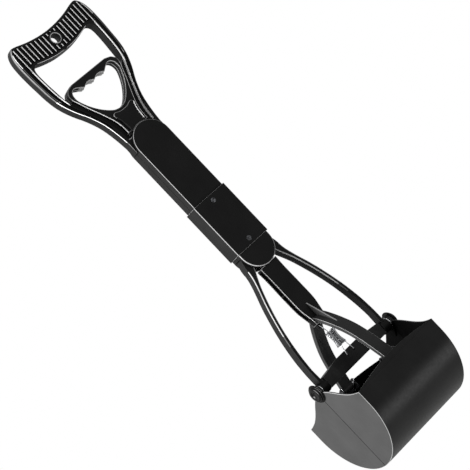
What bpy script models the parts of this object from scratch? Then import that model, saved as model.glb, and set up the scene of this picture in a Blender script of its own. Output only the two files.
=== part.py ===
"""Folding pooper scooper with two jaws, a finger trigger and a return spring pair.

Metres, +Z up. The shaft stands along Z with the grip up and the closed jaws down. X runs along
the jaws' pivot axis and -Y is the front. Z is zero at the lowest line of the closed jaws.
Every moving body hangs from an empty on its joint's axis.
"""
import math

import bmesh
import bpy
from mathutils import Matrix, Vector

# General clearances and tessellation
SEAT_GAP = 0.0003
RUNNING_GAP = 0.0005
OVERRUN = 0.004
WELD_DISTANCE = 0.000001
SCREW_MERGE = 0.00001
ARC_STEPS = 12
ROUND_STEPS = 20
SMALL_ROUND_STEPS = 12
CURVE_STEPS = 4

# Jaws
JAW_RADIUS = 0.0750
JAW_HALF_WIDTH = 0.0765
JAW_WALL = 0.0024
JAW_PLATE = 0.0022
JAW_CORNER_RISE = 0.0188
JAW_ARCH_RISE = 0.0078
JAW_ARCH_INSET = 0.0001
JAW_ARCH_ROOT = 0.0020
JAW_SEAM_GAP = 0.0004
JAW_SCALLOP_SAG = 0.0028
PIVOT_ABOVE_ARC = 0.0493
EAR_RADIUS = 0.0090
EAR_START_DEG = 190.0
REAR_EAR_REACH = 0.0165
REAR_EAR_TURN_DEG = 56.0
REAR_EAR_PAD_RADIUS = 0.0060
REAR_EAR_PAD_SINK = 0.0010

# Pivot hardware
BOLT_RADIUS = 0.0030
KNOB_RADIUS = 0.0100
KNOB_THICKNESS = 0.0048
KNOB_STEP = 0.0013
KNOB_CAP_RADIUS = 0.0066
WASHER_RADIUS = 0.0085
WASHER_THICKNESS = 0.0009
NUT_RADIUS = 0.0056
NUT_THICKNESS = 0.0042
BOLT_TIP = 0.0012

# Side arms of the lower frame
ARM_END_WIDTH = 0.0123
ARM_HALF_DEPTH = 0.0055
ARM_EYE_RADIUS = 0.0088
ARM_ROOT_INNER_X = 0.0192
ARM_ROOT_LENGTH = 0.0225
YOKE_LENGTH = 0.1890
ARM_OUTER_SHARES = [(0.134, 0.938), (0.193, 0.856), (0.445, 0.718), (0.722, 0.559),
                    (0.880, 0.438), (0.969, 0.321), (1.000, 0.189)]
ARM_INNER_SHARES = [(0.718, 0.189), (0.664, 0.332), (0.558, 0.438), (0.405, 0.570),
                    (0.134, 0.739), (-0.125, 0.861)]

# Cross bar between the pivots
BAR_HALF_THICKNESS = 0.0020
BAR_BELOW_PIVOT = 0.0074
BAR_END_RISE = 0.0102
BAR_MID_RISE = 0.0145
BAR_SHOULDER_SHARE = 0.70
BAR_TOP_SHARE = 0.42
BOSS_RADIUS = 0.0065
BOSS_LENGTH = 0.0115
SPRING_HOLE_RADIUS = 0.0013
SPRING_HOLE_RISE = 0.0072

# Springs
SPRING_X = 0.0067
SPRING_WIRE_RADIUS = 0.0005
SPRING_COIL_RADIUS = 0.0028
SPRING_PITCH = 0.0016
SPRING_CURLS = 14
SPRING_CURL_POINTS = 8
SPRING_LOWER_LEG = 0.0155
SPRING_BEND = 0.0010

# Fork
TRAVEL = 0.0320
FORK_HALF_DEPTH = 0.0060
FORK_CROTCH_ABOVE_PIVOT = 0.0622
FORK_LENGTH = 0.1000
FORK_TOP_HALF_WIDTH = 0.0165
FORK_WIDE_SHARES = [(1.000, 1.00), (1.067, 0.61), (0.994, 0.29), (0.727, 0.11)]
FORK_ARM_HALF_WIDTH = 0.0100
FORK_ARM_THICKNESS = 0.0060
FORK_PIN_INSET = 0.0090
FORK_PIN_BELOW_PIVOT = 0.0263
FORK_ARM_SHARES = [(0.06, 1.09), (0.21, 1.00), (0.41, 0.85), (0.62, 0.655), (0.765, 0.46),
                   (0.88, 0.245)]
FORK_EYE_RADIUS = 0.0040
FORK_GROOVE_HALF = 0.0032
FORK_GROOVE_FLOOR_X = 0.0125
FORK_GROOVE_START = 0.0135
FORK_GROOVE_LENGTH = 0.0830
FORK_TONGUE_HALF_WIDTH = 0.0065
FORK_TONGUE_LENGTH = 0.0165
FORK_PIN_RADIUS = 0.0015
FORK_PIN_OVERHANG = 0.0010

# Brackets that carry the fork pins on the jaws
SLOT_PLAY = 0.0008
SLOT_LENGTH = 0.0050
BRACKET_THICKNESS = 0.0016
BRACKET_HALF_WIDTH = 0.0200
BRACKET_HEIGHT = 0.0110
BRACKET_BELOW_PIN = 0.0090
BRACKET_EAR_WALL = 0.0021
RIVET_X = 0.0165
RIVET_RISE_SHARE = 0.50
RIVET_HEAD_RADIUS = 0.0020
RIVET_HEAD_HEIGHT = 0.0010
RIVET_SHANK_RADIUS = 0.0010
RIVET_SINK = 0.0013
RIVET_CROWN_SHARE = 0.60

# Stem covers, collar and fold joint
COVER_HALF_WIDTH = 0.0278
COVER_HALF_DEPTH = 0.0118
COVER_WALL = 0.0020
COVER_FACE = 0.0022
COVER_TONGUE = 0.0045
LOWER_COVER_STRAIGHT = 0.0060
FOLD_ABOVE_COVER = 0.0072
FOLD_AXIS_DEPTH = 0.0076
UPPER_COVER_RISE = 0.0195
UPPER_COVER_LENGTH = 0.1545
COLLAR_LENGTH = 0.0820
COLLAR_BELOW_FOLD = 0.0085
COLLAR_WALL = 0.0016
COLLAR_CORNER = 0.0030
COLLAR_RIVET_INSET = 0.0080
COLLAR_RIVET_HEAD = 0.0036
COLLAR_RIVET_HEIGHT = 0.0008
COLLAR_RIVET_SHANK = 0.0015
COLLAR_RIVET_CROWN_SHARE = 0.60

# Hinge blocks
BLOCK_SIDE_INSET = 0.0003
BLOCK_HALF_DEPTH = 0.0093
KNUCKLE_RADIUS = 0.0040
KNUCKLE_SPLIT_X = 0.0182
KNUCKLE_INNER_X = 0.0078
KNUCKLE_SWEEP_GAP = 0.0004
FOLD_PIN_RADIUS = 0.0020
PIN_END_INSET = 0.0004
UPPER_BLOCK_SETBACK = 0.0020
BLOCK_SPLIT_GAP = 0.0006
UPPER_BLOCK_LENGTH = 0.0485
UPPER_BLOCK_PAD_RISE = 0.0240
CHANNEL_HALF_WIDTH = 0.0074
CHANNEL_BACK_Y = 0.0064
FORK_STOP_GAP = 0.0008

# Pull bars
STRAP_HALF_WIDTH = 0.0055
STRAP_THICKNESS = 0.0022
STRAP_EYE_RADIUS = 0.0028
STRAP_LAP_GAP = 0.0004
STRAP_LAP_LOW = 0.0045
STRAP_LAP_HIGH = 0.0070
LINK_PIN_RADIUS = 0.0013
STRAP_PIN_RADIUS = 0.0015
STRAP_PIN_SINK = 0.0045
STRAP_PIN_INSET = 0.0001
STRAP_END_MARGIN = 0.0070

# Handle frame
HANDLE_HALF_WIDTH = 0.0700
HANDLE_LENGTH = 0.2045
HANDLE_HALF_DEPTH = 0.0070
HANDLE_BEVEL = 0.0016
NECK_HALF_WIDTH = 0.0296
NECK_DROP = 0.0305
NECK_INSET = 0.0010
HANDLE_OUTER_SHARES = [(0.000, 0.956), (0.243, 0.961), (0.514, 0.976), (0.786, 1.000),
                       (0.893, 0.993), (0.971, 0.946), (1.000, 0.878), (1.000, 0.790),
                       (0.986, 0.707), (0.961, 0.619), (0.907, 0.535), (0.786, 0.443),
                       (0.626, 0.355), (0.504, 0.262), (0.446, 0.159), (0.424, 0.071)]
WINDOW_SHARES = [(0.000, 0.788), (0.229, 0.791), (0.479, 0.807), (0.686, 0.826),
                 (0.760, 0.817), (0.800, 0.796), (0.813, 0.756), (0.806, 0.687),
                 (0.789, 0.619), (0.776, 0.570), (0.760, 0.533), (0.726, 0.509),
                 (0.674, 0.497), (0.624, 0.469), (0.576, 0.430), (0.507, 0.379),
                 (0.426, 0.324), (0.332, 0.250), (0.288, 0.189), (0.282, 0.132)]
WINDOW_FOOT_SHARE = 0.116
RIB_COUNT = 19
RIB_SPAN_SHARE = 0.826
RIB_WIDTH = 0.0016
RIB_PROUD = 0.0009
RIB_MARGIN = 0.0055
HANG_HOLE_RISE = 0.1805
EYELET_BORE = 0.0045
EYELET_BARREL = 0.0010
EYELET_FLANGE = 0.0020
EYELET_FLANGE_HEIGHT = 0.0007

# Neck plates with their two horns
NECK_PLATE_THICKNESS = 0.0023
NECK_PLATE_HALF_FOOT = 0.0130
NECK_PLATE_SHARES = [(1.14, 0.78), (1.38, 0.905), (1.45, 0.955), (1.36, 1.00), (1.21, 1.00),
                     (0.85, 0.972), (0.40, 0.957), (0.00, 0.953)]
NECK_PLATE_RISE = 0.0578

# Trigger
TRIGGER_HALF_DEPTH = 0.0040
TRIGGER_TOP_SHARE = 0.5917
TRIGGER_OUTER_SHARES = [(0.451, 0.5917), (0.573, 0.579), (0.621, 0.566), (0.656, 0.549),
                        (0.663, 0.529), (0.651, 0.504), (0.606, 0.472), (0.557, 0.432),
                        (0.489, 0.381), (0.409, 0.326), (0.314, 0.252), (0.269, 0.190),
                        (0.263, 0.1315)]
TRIGGER_INNER_SHARES = [(0.343, 0.542), (0.443, 0.559), (0.519, 0.554), (0.564, 0.534),
                        (0.577, 0.5085), (0.570, 0.4865), (0.544, 0.4635), (0.480, 0.421),
                        (0.389, 0.376), (0.271, 0.334), (0.136, 0.3007), (0.000, 0.290)]
TRIGGER_BAR_THICKNESS = 0.0135
SCALLOP_PITCH = 0.0190
SCALLOP_DEPTH = 0.0035
SCALLOP_STEPS = 6
SHANK_HALF_WIDTH = 0.0125
SHANK_DROP = 0.0855
SHANK_PAD_HALF_WIDTH = 0.0070
SHANK_PAD_LENGTH = 0.0220
SLIDE_GAP = 0.0004

# Screws
SCREW_SHANK_RADIUS = 0.0013
SCREW_HEAD_RADIUS = 0.0030
SCREW_HEAD_HEIGHT = 0.0012
SCREW_TIP_SINK = 0.0010
UPPER_SCREW_X = 0.0185
LOWER_SCREW_X = 0.0213
UPPER_SCREW_RISE = 0.0360
NECK_SCREW_DROP = 0.0150
LOWER_SCREW_DROP = 0.0063

# Places along the shaft
JAW_CORNER_Z = JAW_RADIUS + JAW_CORNER_RISE
FORK_PIN_Y = JAW_RADIUS - FORK_PIN_INSET
PIVOT_Z = JAW_RADIUS + PIVOT_ABOVE_ARC
LOWER_ARC_Z = PIVOT_Z + YOKE_LENGTH
LOWER_COVER_TOP_Z = LOWER_ARC_Z + LOWER_COVER_STRAIGHT
FOLD_Z = LOWER_COVER_TOP_Z + FOLD_ABOVE_COVER
FOLD_Y = -FOLD_AXIS_DEPTH
UPPER_COVER_BOTTOM_Z = FOLD_Z + UPPER_COVER_RISE
NECK_Z = UPPER_COVER_BOTTOM_Z + UPPER_COVER_LENGTH
COLLAR_BOTTOM_Z = FOLD_Z - COLLAR_BELOW_FOLD
COLLAR_TOP_Z = COLLAR_BOTTOM_Z + COLLAR_LENGTH
FORK_BOTTOM_Z = PIVOT_Z + FORK_CROTCH_ABOVE_PIVOT
FORK_TOP_Z = FORK_BOTTOM_Z + FORK_LENGTH
FORK_PIN_Z = PIVOT_Z - FORK_PIN_BELOW_PIVOT
TONGUE_TOP_Z = FORK_TOP_Z + FORK_TONGUE_LENGTH
SHANK_BOTTOM_Z = NECK_Z - SHANK_DROP
SHANK_PAD_TOP_Z = SHANK_BOTTOM_Z + SHANK_PAD_LENGTH
TUNNEL_TOP_Z = FORK_TOP_Z + TRAVEL + FORK_STOP_GAP
ARM_ROOT_TOP_Z = TUNNEL_TOP_Z - RUNNING_GAP
SPRING_HOLE_Z = PIVOT_Z + SPRING_HOLE_RISE

# Places across the pivots, from the knobs inward
OUTER_PLATE_IN_X = JAW_HALF_WIDTH - JAW_PLATE
INNER_PLATE_OUT_X = OUTER_PLATE_IN_X - SEAT_GAP
INNER_PLATE_IN_X = INNER_PLATE_OUT_X - JAW_PLATE
WASHER_OUT_X = INNER_PLATE_IN_X - SEAT_GAP
WASHER_IN_X = WASHER_OUT_X - WASHER_THICKNESS
ARM_OUTER_X = WASHER_IN_X - SEAT_GAP
ARM_END_INNER_X = ARM_OUTER_X - ARM_END_WIDTH
BAR_END_X = ARM_END_INNER_X - SEAT_GAP
BOSS_IN_X = BAR_END_X - BOSS_LENGTH
NUT_OUT_X = BOSS_IN_X - SEAT_GAP
NUT_IN_X = NUT_OUT_X - NUT_THICKNESS
BOLT_BORE = BOLT_RADIUS + SEAT_GAP
KNOB_IN_X = JAW_HALF_WIDTH + SEAT_GAP

# Places across the stem
COVER_INNER_HALF = COVER_HALF_WIDTH - COVER_WALL
BLOCK_HALF_WIDTH = COVER_INNER_HALF - BLOCK_SIDE_INSET
LOWER_BLOCK_BOTTOM_Z = LOWER_ARC_Z - BLOCK_HALF_WIDTH
COVER_FACE_IN_Y = COVER_HALF_DEPTH - COVER_FACE
COVER_TONGUE_IN_Y = COVER_HALF_DEPTH - COVER_TONGUE
COLLAR_IN_X = COVER_HALF_WIDTH + RUNNING_GAP
COLLAR_IN_Y = COVER_HALF_DEPTH + RUNNING_GAP
COLLAR_OUT_X = COLLAR_IN_X + COLLAR_WALL
COLLAR_OUT_Y = COLLAR_IN_Y + COLLAR_WALL
STRAP_FRONT_Y = FOLD_Y - STRAP_THICKNESS / 2
STRAP_BACK_Y = FOLD_Y + STRAP_THICKNESS / 2
BRACKET_EAR_IN_X = FORK_ARM_HALF_WIDTH + SLOT_PLAY
BRACKET_EAR_OUT_X = BRACKET_EAR_IN_X + BRACKET_THICKNESS

PLANES = {
    "XY": Matrix.Identity(4),
    "XZ": Matrix(((1, 0, 0, 0), (0, 0, -1, 0), (0, 1, 0, 0), (0, 0, 0, 1))),
    "YZ": Matrix(((0, 0, 1, 0), (1, 0, 0, 0), (0, 1, 0, 0), (0, 0, 0, 1))),
}


# Scene, collections and materials
for old in list(bpy.data.objects):
    bpy.data.objects.remove(old, do_unlink=True)

PARTS = bpy.data.collections.new("pooper_scooper")
CUTTERS = bpy.data.collections.new("cutters")
bpy.context.scene.collection.children.link(PARTS)
bpy.context.scene.collection.children.link(CUTTERS)


def plain_material(name, colour, roughness, metallic):
    """A Principled material in one colour."""
    material = bpy.data.materials.new(name)
    material.use_nodes = True
    shader = material.node_tree.nodes["Principled BSDF"]
    shader.inputs["Base Color"].default_value = (*colour, 1.0)
    shader.inputs["Roughness"].default_value = roughness
    shader.inputs["Metallic"].default_value = metallic
    material.diffuse_color = (*colour, 1.0)
    return material


BLACK_PLASTIC = ((0.012, 0.012, 0.012), 0.42, 0.0)
GREY_PLASTIC = ((0.090, 0.090, 0.090), 0.50, 0.0)
BRIGHT_STEEL = ((0.620, 0.620, 0.620), 0.25, 1.0)
BLACK_STEEL = ((0.030, 0.030, 0.030), 0.30, 1.0)


# Outlines
def smooth(points, steps=CURVE_STEPS):
    """An open curve through all the points, with steps pieces between each pair."""
    ends = [points[0]] + list(points) + [points[-1]]
    result = []
    for before, start, end, after in zip(ends, ends[1:], ends[2:], ends[3:]):
        for step in range(steps):
            t = step / steps
            weights = (-t + 2 * t * t - t ** 3, 2 - 5 * t * t + 3 * t ** 3,
                       t + 4 * t * t - 3 * t ** 3, -t * t + t ** 3)
            result.append(tuple(sum(w * p[axis] for w, p in
                                    zip(weights, (before, start, end, after))) / 2
                                for axis in (0, 1)))
    result.append(tuple(points[-1]))
    return result


def arc(centre, radius, start_deg, end_deg, steps=ARC_STEPS):
    """Points on a circular arc, both ends included."""
    result = []
    for step in range(steps + 1):
        angle = math.radians(start_deg + (end_deg - start_deg) * step / steps)
        result.append((centre[0] + radius * math.cos(angle),
                       centre[1] + radius * math.sin(angle)))
    return result


def circle(centre, radius, steps=ROUND_STEPS):
    """A closed circle without a doubled point."""
    return arc(centre, radius, 0, 360, steps)[:-1]


def scaled(shares, width, height, base):
    """Turn (across, up) shares into places."""
    return [(across * width, base + up * height) for across, up in shares]


def mirrored_loop(half):
    """A closed loop from its half at +X, with points on the centre line kept once."""
    return half + [(-x, z) for x, z in reversed(half) if x > WELD_DISTANCE]


# Solids
def add_object(name, mesh, look, collection=None):
    """Link a mesh as an object with its own material."""
    obj = bpy.data.objects.new(name, mesh)
    (collection or PARTS).objects.link(obj)
    if look:
        mesh.materials.clear()
        mesh.materials.append(plain_material(name, *look))
    return obj


def flat_solid(name, loops, plane, low, high, look=None, collection=None):
    """Extrude closed loops from low to high, square to their plane."""
    curve = bpy.data.curves.new(name, "CURVE")
    curve.dimensions = "2D"
    curve.fill_mode = "BOTH"
    curve.render_resolution_u = 0
    curve.extrude = (high - low) / 2
    for loop in loops:
        spline = curve.splines.new("POLY")
        spline.points.add(len(loop) - 1)
        for point, (u, v) in zip(spline.points, loop):
            point.co = (u, v, 0, 1)
        spline.use_cyclic_u = True
    guide = bpy.data.objects.new(name + "_outline", curve)
    CUTTERS.objects.link(guide)
    evaluated = guide.evaluated_get(bpy.context.evaluated_depsgraph_get())
    mesh = bpy.data.meshes.new_from_object(evaluated)
    bpy.data.objects.remove(guide, do_unlink=True)
    weld_mesh(mesh)
    mid = (high + low) / 2
    normal = {"XY": Vector((0, 0, mid)), "XZ": Vector((0, mid, 0)), "YZ": Vector((mid, 0, 0))}
    mesh.transform(Matrix.Translation(normal[plane]) @ PLANES[plane])
    return add_object(name, mesh, look, collection)


def weld_mesh(mesh):
    """Close the loose caps that a curve's mesh has and turn all faces outward."""
    work = bmesh.new()
    work.from_mesh(mesh)
    bmesh.ops.remove_doubles(work, verts=work.verts, dist=WELD_DISTANCE)
    bmesh.ops.recalc_face_normals(work, faces=work.faces)
    work.to_mesh(mesh)
    work.free()


def block(name, x_range, y_range, z_range, look=None, collection=None):
    """A box between three pairs of faces."""
    ranges = (x_range, y_range, z_range)
    middle = Vector([(low + high) / 2 for low, high in ranges])
    size = [abs(high - low) for low, high in ranges]
    mesh = bpy.data.meshes.new(name)
    work = bmesh.new()
    bmesh.ops.create_cube(work, size=1.0,
                          matrix=Matrix.Translation(middle) @ Matrix.Diagonal((*size, 1)))
    work.to_mesh(mesh)
    work.free()
    return add_object(name, mesh, look, collection)


def rod(name, start, end, radius, look=None, collection=None, steps=SMALL_ROUND_STEPS):
    """A cylinder between two points."""
    start, end = Vector(start), Vector(end)
    turn = Vector((0, 0, 1)).rotation_difference(end - start).to_matrix().to_4x4()
    mesh = bpy.data.meshes.new(name)
    work = bmesh.new()
    bmesh.ops.create_cone(work, cap_ends=True, segments=steps, radius1=radius, radius2=radius,
                          depth=(end - start).length,
                          matrix=Matrix.Translation((start + end) / 2) @ turn)
    work.to_mesh(mesh)
    work.free()
    obj = add_object(name, mesh, look, collection)
    soften(obj)
    return obj


def turned(name, profile, place, direction, look, steps=SMALL_ROUND_STEPS, ring=False):
    """Turn (radius, height) points, listed from the top down, about an axis through place."""
    mesh = bpy.data.meshes.new(name)
    points = [(radius, 0, height) for radius, height in profile]
    edges = [(index, index + 1) for index in range(len(points) - 1)]
    if ring:
        edges.append((len(points) - 1, 0))
    mesh.from_pydata(points, edges, [])
    obj = add_object(name, mesh, look)
    obj.location = place
    obj.rotation_mode = "QUATERNION"
    obj.rotation_quaternion = Vector((0, 0, 1)).rotation_difference(Vector(direction))
    screw = obj.modifiers.new("Turn", "SCREW")
    screw.axis = "Z"
    screw.steps = steps
    screw.render_steps = steps
    screw.use_merge_vertices = True
    screw.merge_threshold = SCREW_MERGE
    return obj


def soften(obj):
    """Shade round faces smooth and keep corners sharp."""
    obj.data.shade_smooth()
    obj.data.set_sharp_from_angle(angle=math.radians(35))


def as_cutter(obj):
    """Keep a tool object out of the model."""
    for holder in list(obj.users_collection):
        holder.objects.unlink(obj)
    CUTTERS.objects.link(obj)
    obj.hide_render = True
    obj.display_type = "WIRE"
    return obj


def combine(obj, tool, operation):
    """Add a live Boolean with a tool object."""
    as_cutter(tool)
    modifier = obj.modifiers.new(tool.name, "BOOLEAN")
    modifier.operation = operation
    modifier.object = tool
    return obj


def cut(obj, tool):
    return combine(obj, tool, "DIFFERENCE")


def join(obj, tool):
    return combine(obj, tool, "UNION")


def bevel(obj, width):
    """Round the sharp edges of a solid by one named width."""
    modifier = obj.modifiers.new("Bevel", "BEVEL")
    modifier.width = width
    modifier.segments = 1
    modifier.limit_method = "ANGLE"
    modifier.angle_limit = math.radians(50)
    return obj


def both_sides(span, side):
    """A range on one side of the centre plane, low end first."""
    return tuple(sorted((side * span[0], side * span[1])))


# Handle frame
def make_handle_frame():
    outer = scaled(HANDLE_OUTER_SHARES, HANDLE_HALF_WIDTH, HANDLE_LENGTH, NECK_Z)
    neck_bottom = NECK_Z - NECK_DROP
    shoulder = NECK_Z + SEAT_GAP
    neck_x = BLOCK_HALF_WIDTH - NECK_INSET
    half = smooth(outer, 2) + [(NECK_HALF_WIDTH, shoulder), (neck_x, shoulder + NECK_INSET),
                               (neck_x, neck_bottom + NECK_INSET)]
    window = smooth(scaled(WINDOW_SHARES, HANDLE_HALF_WIDTH, HANDLE_LENGTH, NECK_Z), 2)
    foot_z = NECK_Z + WINDOW_FOOT_SHARE * HANDLE_LENGTH
    window.append((window[-1][0], foot_z))
    frame = flat_solid("handle_frame", [mirrored_loop(half), mirrored_loop(window)], "XZ",
                       -HANDLE_HALF_DEPTH, HANDLE_HALF_DEPTH, BLACK_PLASTIC)
    bevel(frame, HANDLE_BEVEL)
    join(frame, make_ribs(outer, window))
    root = block("neck_root", (-BLOCK_HALF_WIDTH, BLOCK_HALF_WIDTH),
                 (-BLOCK_HALF_DEPTH, BLOCK_HALF_DEPTH),
                 (neck_bottom, NECK_Z - SEAT_GAP))
    join(frame, root)
    slide_x = SHANK_HALF_WIDTH + SLIDE_GAP
    slide_y = TRIGGER_HALF_DEPTH + SLIDE_GAP
    slideway = block("slideway", (-slide_x, slide_x), (-slide_y, slide_y),
                     (neck_bottom - OVERRUN, foot_z + OVERRUN))
    cut(frame, slideway)
    hole_z = NECK_Z + HANG_HOLE_RISE
    clearing = EYELET_BORE + EYELET_FLANGE + SEAT_GAP
    for side in (-1, 1):
        face = side * HANDLE_HALF_DEPTH
        cut(frame, rod(f"eyelet_recess_{side}", (0, face, hole_z),
                       (0, face + side * OVERRUN, hole_z), clearing, steps=ROUND_STEPS))
    reach = HANDLE_HALF_DEPTH + OVERRUN
    cut(frame, rod("hang_hole", (0, -reach, hole_z), (0, reach, hole_z),
                   EYELET_BORE + EYELET_BARREL + SEAT_GAP, steps=ROUND_STEPS))
    for side in (-1, 1):
        cut(frame, screw_bore(f"neck_bore_{side}", side * UPPER_SCREW_X,
                              NECK_Z - NECK_SCREW_DROP))
    return frame


def height_on(curve, x):
    """Height of an open curve at x, by straight pieces."""
    for (x0, z0), (x1, z1) in zip(curve, curve[1:]):
        if x0 <= x <= x1:
            return z0 + (z1 - z0) * (x - x0) / (x1 - x0)
    return curve[-1][1]


def make_ribs(outer, window):
    """Thin ribs across the grip, proud of its front and back."""
    span = RIB_SPAN_SHARE * HANDLE_HALF_WIDTH
    top = smooth(outer)
    corner = WINDOW_SHARES[3][0] * HANDLE_HALF_WIDTH
    mesh = bpy.data.meshes.new("grip_ribs")
    work = bmesh.new()
    depth = HANDLE_HALF_DEPTH + RIB_PROUD
    for index in range(RIB_COUNT):
        x = span * (2 * index / (RIB_COUNT - 1) - 1)
        high = height_on(top, abs(x)) - RIB_MARGIN
        low = height_on(window, min(abs(x), corner)) + RIB_MARGIN
        matrix = (Matrix.Translation((x, 0, (high + low) / 2))
                  @ Matrix.Diagonal((RIB_WIDTH, 2 * depth, high - low, 1)))
        bmesh.ops.create_cube(work, size=1.0, matrix=matrix)
    work.to_mesh(mesh)
    work.free()
    return add_object("grip_ribs", mesh, None)


def make_eyelet():
    """A lining with a flange on each face of the grip."""
    face = HANDLE_HALF_DEPTH + SEAT_GAP
    rim = face + EYELET_FLANGE_HEIGHT
    barrel = EYELET_BORE + EYELET_BARREL
    flange = EYELET_BORE + EYELET_FLANGE
    profile = [(EYELET_BORE, rim), (flange, rim), (flange, face), (barrel, face),
               (barrel, -face), (flange, -face), (flange, -rim), (EYELET_BORE, -rim)]
    return turned("hang_eyelet", profile, (0, 0, NECK_Z + HANG_HOLE_RISE), (0, 1, 0),
                  BRIGHT_STEEL, ROUND_STEPS, ring=True)


def make_neck_plate(name, side):
    """A plate with two horns whose lower edge follows the stem cover's round end."""
    start_deg = math.degrees(math.acos(NECK_PLATE_HALF_FOOT / (COVER_HALF_WIDTH + SEAT_GAP)))
    foot = arc((0, NECK_Z), COVER_HALF_WIDTH + SEAT_GAP, 90, start_deg, ARC_STEPS // 2)
    rim = smooth(scaled(NECK_PLATE_SHARES, NECK_PLATE_HALF_FOOT, NECK_PLATE_RISE, NECK_Z), 2)
    low, high = both_sides((HANDLE_HALF_DEPTH + SEAT_GAP,
                            HANDLE_HALF_DEPTH + SEAT_GAP + NECK_PLATE_THICKNESS), side)
    return flat_solid(name, [mirrored_loop(foot + rim)], "XZ", low, high, BLACK_PLASTIC)


# Stem covers
def cover_loop(half_width, arc_z, end_z, steps=ARC_STEPS):
    """A strip with a round end at arc_z and a square end at end_z."""
    start_deg = 0 if end_z < arc_z else 180
    round_end = arc((0, arc_z), half_width, start_deg, start_deg + 180, steps)
    return round_end + [(round_end[-1][0], end_z), (round_end[0][0], end_z)]


def make_cover(name, side, arc_z, end_z, screw_places):
    """One shell of a stem cover: flat face, side walls, and a tongue over the round end."""
    away = 1 if end_z > arc_z else -1
    low, high = both_sides((SEAT_GAP / 2, COVER_HALF_DEPTH), side)
    shell = flat_solid(name, [cover_loop(COVER_HALF_WIDTH, arc_z, end_z)], "XZ", low, high,
                       BLACK_PLASTIC)
    depth = both_sides((-OVERRUN, COVER_TONGUE_IN_Y), side)
    reach = COVER_HALF_WIDTH + OVERRUN
    heights = tuple(sorted((arc_z, arc_z - away * reach)))
    cut(shell, block(name + "_tongue_space", (-reach, reach), depth, heights))
    low, high = both_sides((-OVERRUN, COVER_FACE_IN_Y), side)
    cavity_loop = cover_loop(COVER_INNER_HALF, arc_z, end_z + away * OVERRUN)
    cut(shell, flat_solid(name + "_cavity", [cavity_loop], "XZ", low, high))
    for index, (x, z) in enumerate(screw_places):
        label = f"{name}_bore_{index}"
        if side > 0:
            cut(shell, seated_bore(label, x, z))
        else:
            tip = COVER_FACE_IN_Y + SCREW_TIP_SINK + SEAT_GAP
            cut(shell, rod(label, (x, -tip, z), (x, 0, z), SCREW_SHANK_RADIUS + SEAT_GAP))
    return shell


def screw_bore(name, x, z):
    """A clearance hole right through, for a screw's shank."""
    reach = COVER_HALF_DEPTH + OVERRUN
    return rod(name, (x, -reach, z), (x, reach, z), SCREW_SHANK_RADIUS + SEAT_GAP)


def seated_bore(name, x, z):
    """A clearance hole with a round seat for the screw's head in the back face."""
    reach = COVER_HALF_DEPTH + OVERRUN
    seat = COVER_HALF_DEPTH - SCREW_HEAD_HEIGHT - SEAT_GAP
    head = SCREW_HEAD_RADIUS + SEAT_GAP
    shank = SCREW_SHANK_RADIUS + SEAT_GAP
    profile = [(0, reach), (head, reach), (head, seat), (shank, seat), (shank, 0), (0, 0)]
    return turned(name, profile, (x, 0, z), (0, 1, 0), None)


def make_screw(name, x, z):
    """A flush-headed screw from the back, with its tip in the front cover."""
    top = COVER_HALF_DEPTH - SEAT_GAP / 2
    under = COVER_HALF_DEPTH - SCREW_HEAD_HEIGHT
    tip = -COVER_FACE_IN_Y - SCREW_TIP_SINK
    profile = [(0, top), (SCREW_HEAD_RADIUS, top), (SCREW_HEAD_RADIUS, under),
               (SCREW_SHANK_RADIUS, under), (SCREW_SHANK_RADIUS, tip), (0, tip)]
    return turned(name, profile, (x, 0, z), (0, 1, 0), BRIGHT_STEEL)


# Lock collar
def rounded_rectangle(half_x, half_y, radius, steps=4):
    """A closed rectangle with round corners."""
    loop = []
    for centre_x, centre_y, start in ((1, 1, 0), (-1, 1, 90), (-1, -1, 180), (1, -1, 270)):
        centre = (centre_x * (half_x - radius), centre_y * (half_y - radius))
        loop += arc(centre, radius, start, start + 90, steps)
    return loop


def make_collar():
    outer = rounded_rectangle(COLLAR_OUT_X, COLLAR_OUT_Y, COLLAR_CORNER)
    inner = rounded_rectangle(COLLAR_IN_X, COLLAR_IN_Y, COLLAR_CORNER - COLLAR_WALL
                              - RUNNING_GAP)
    collar = flat_solid("lock_collar", [outer, inner], "XY", COLLAR_BOTTOM_Z, COLLAR_TOP_Z,
                        BLACK_PLASTIC)
    rivets = []
    for name, z in (("collar_rivet_top", COLLAR_TOP_Z - COLLAR_RIVET_INSET),
                    ("collar_rivet_bottom", COLLAR_BOTTOM_Z + COLLAR_RIVET_INSET)):
        cut(collar, rod(name + "_bore", (0, -COLLAR_OUT_Y - OVERRUN, z), (0, 0, z),
                        COLLAR_RIVET_SHANK + SEAT_GAP))
        face = COLLAR_OUT_Y + SEAT_GAP
        crown = face + COLLAR_RIVET_HEIGHT
        inset = COLLAR_IN_Y + SEAT_GAP / 2
        profile = [(0, crown), (COLLAR_RIVET_HEAD * COLLAR_RIVET_CROWN_SHARE, crown),
                   (COLLAR_RIVET_HEAD, (face + crown) / 2), (COLLAR_RIVET_HEAD, face),
                   (COLLAR_RIVET_SHANK, face), (COLLAR_RIVET_SHANK, inset), (0, inset)]
        rivets.append(turned(name, profile, (0, 0, z), (0, -1, 0), BLACK_STEEL))
    return [collar] + rivets


# Fold joint
def knuckle(name, side, x_range, radius):
    """A cylinder about the fold axis on one side."""
    return rod(name, (side * x_range[0], FOLD_Y, FOLD_Z), (side * x_range[1], FOLD_Y, FOLD_Z),
               radius, steps=ROUND_STEPS)


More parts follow.
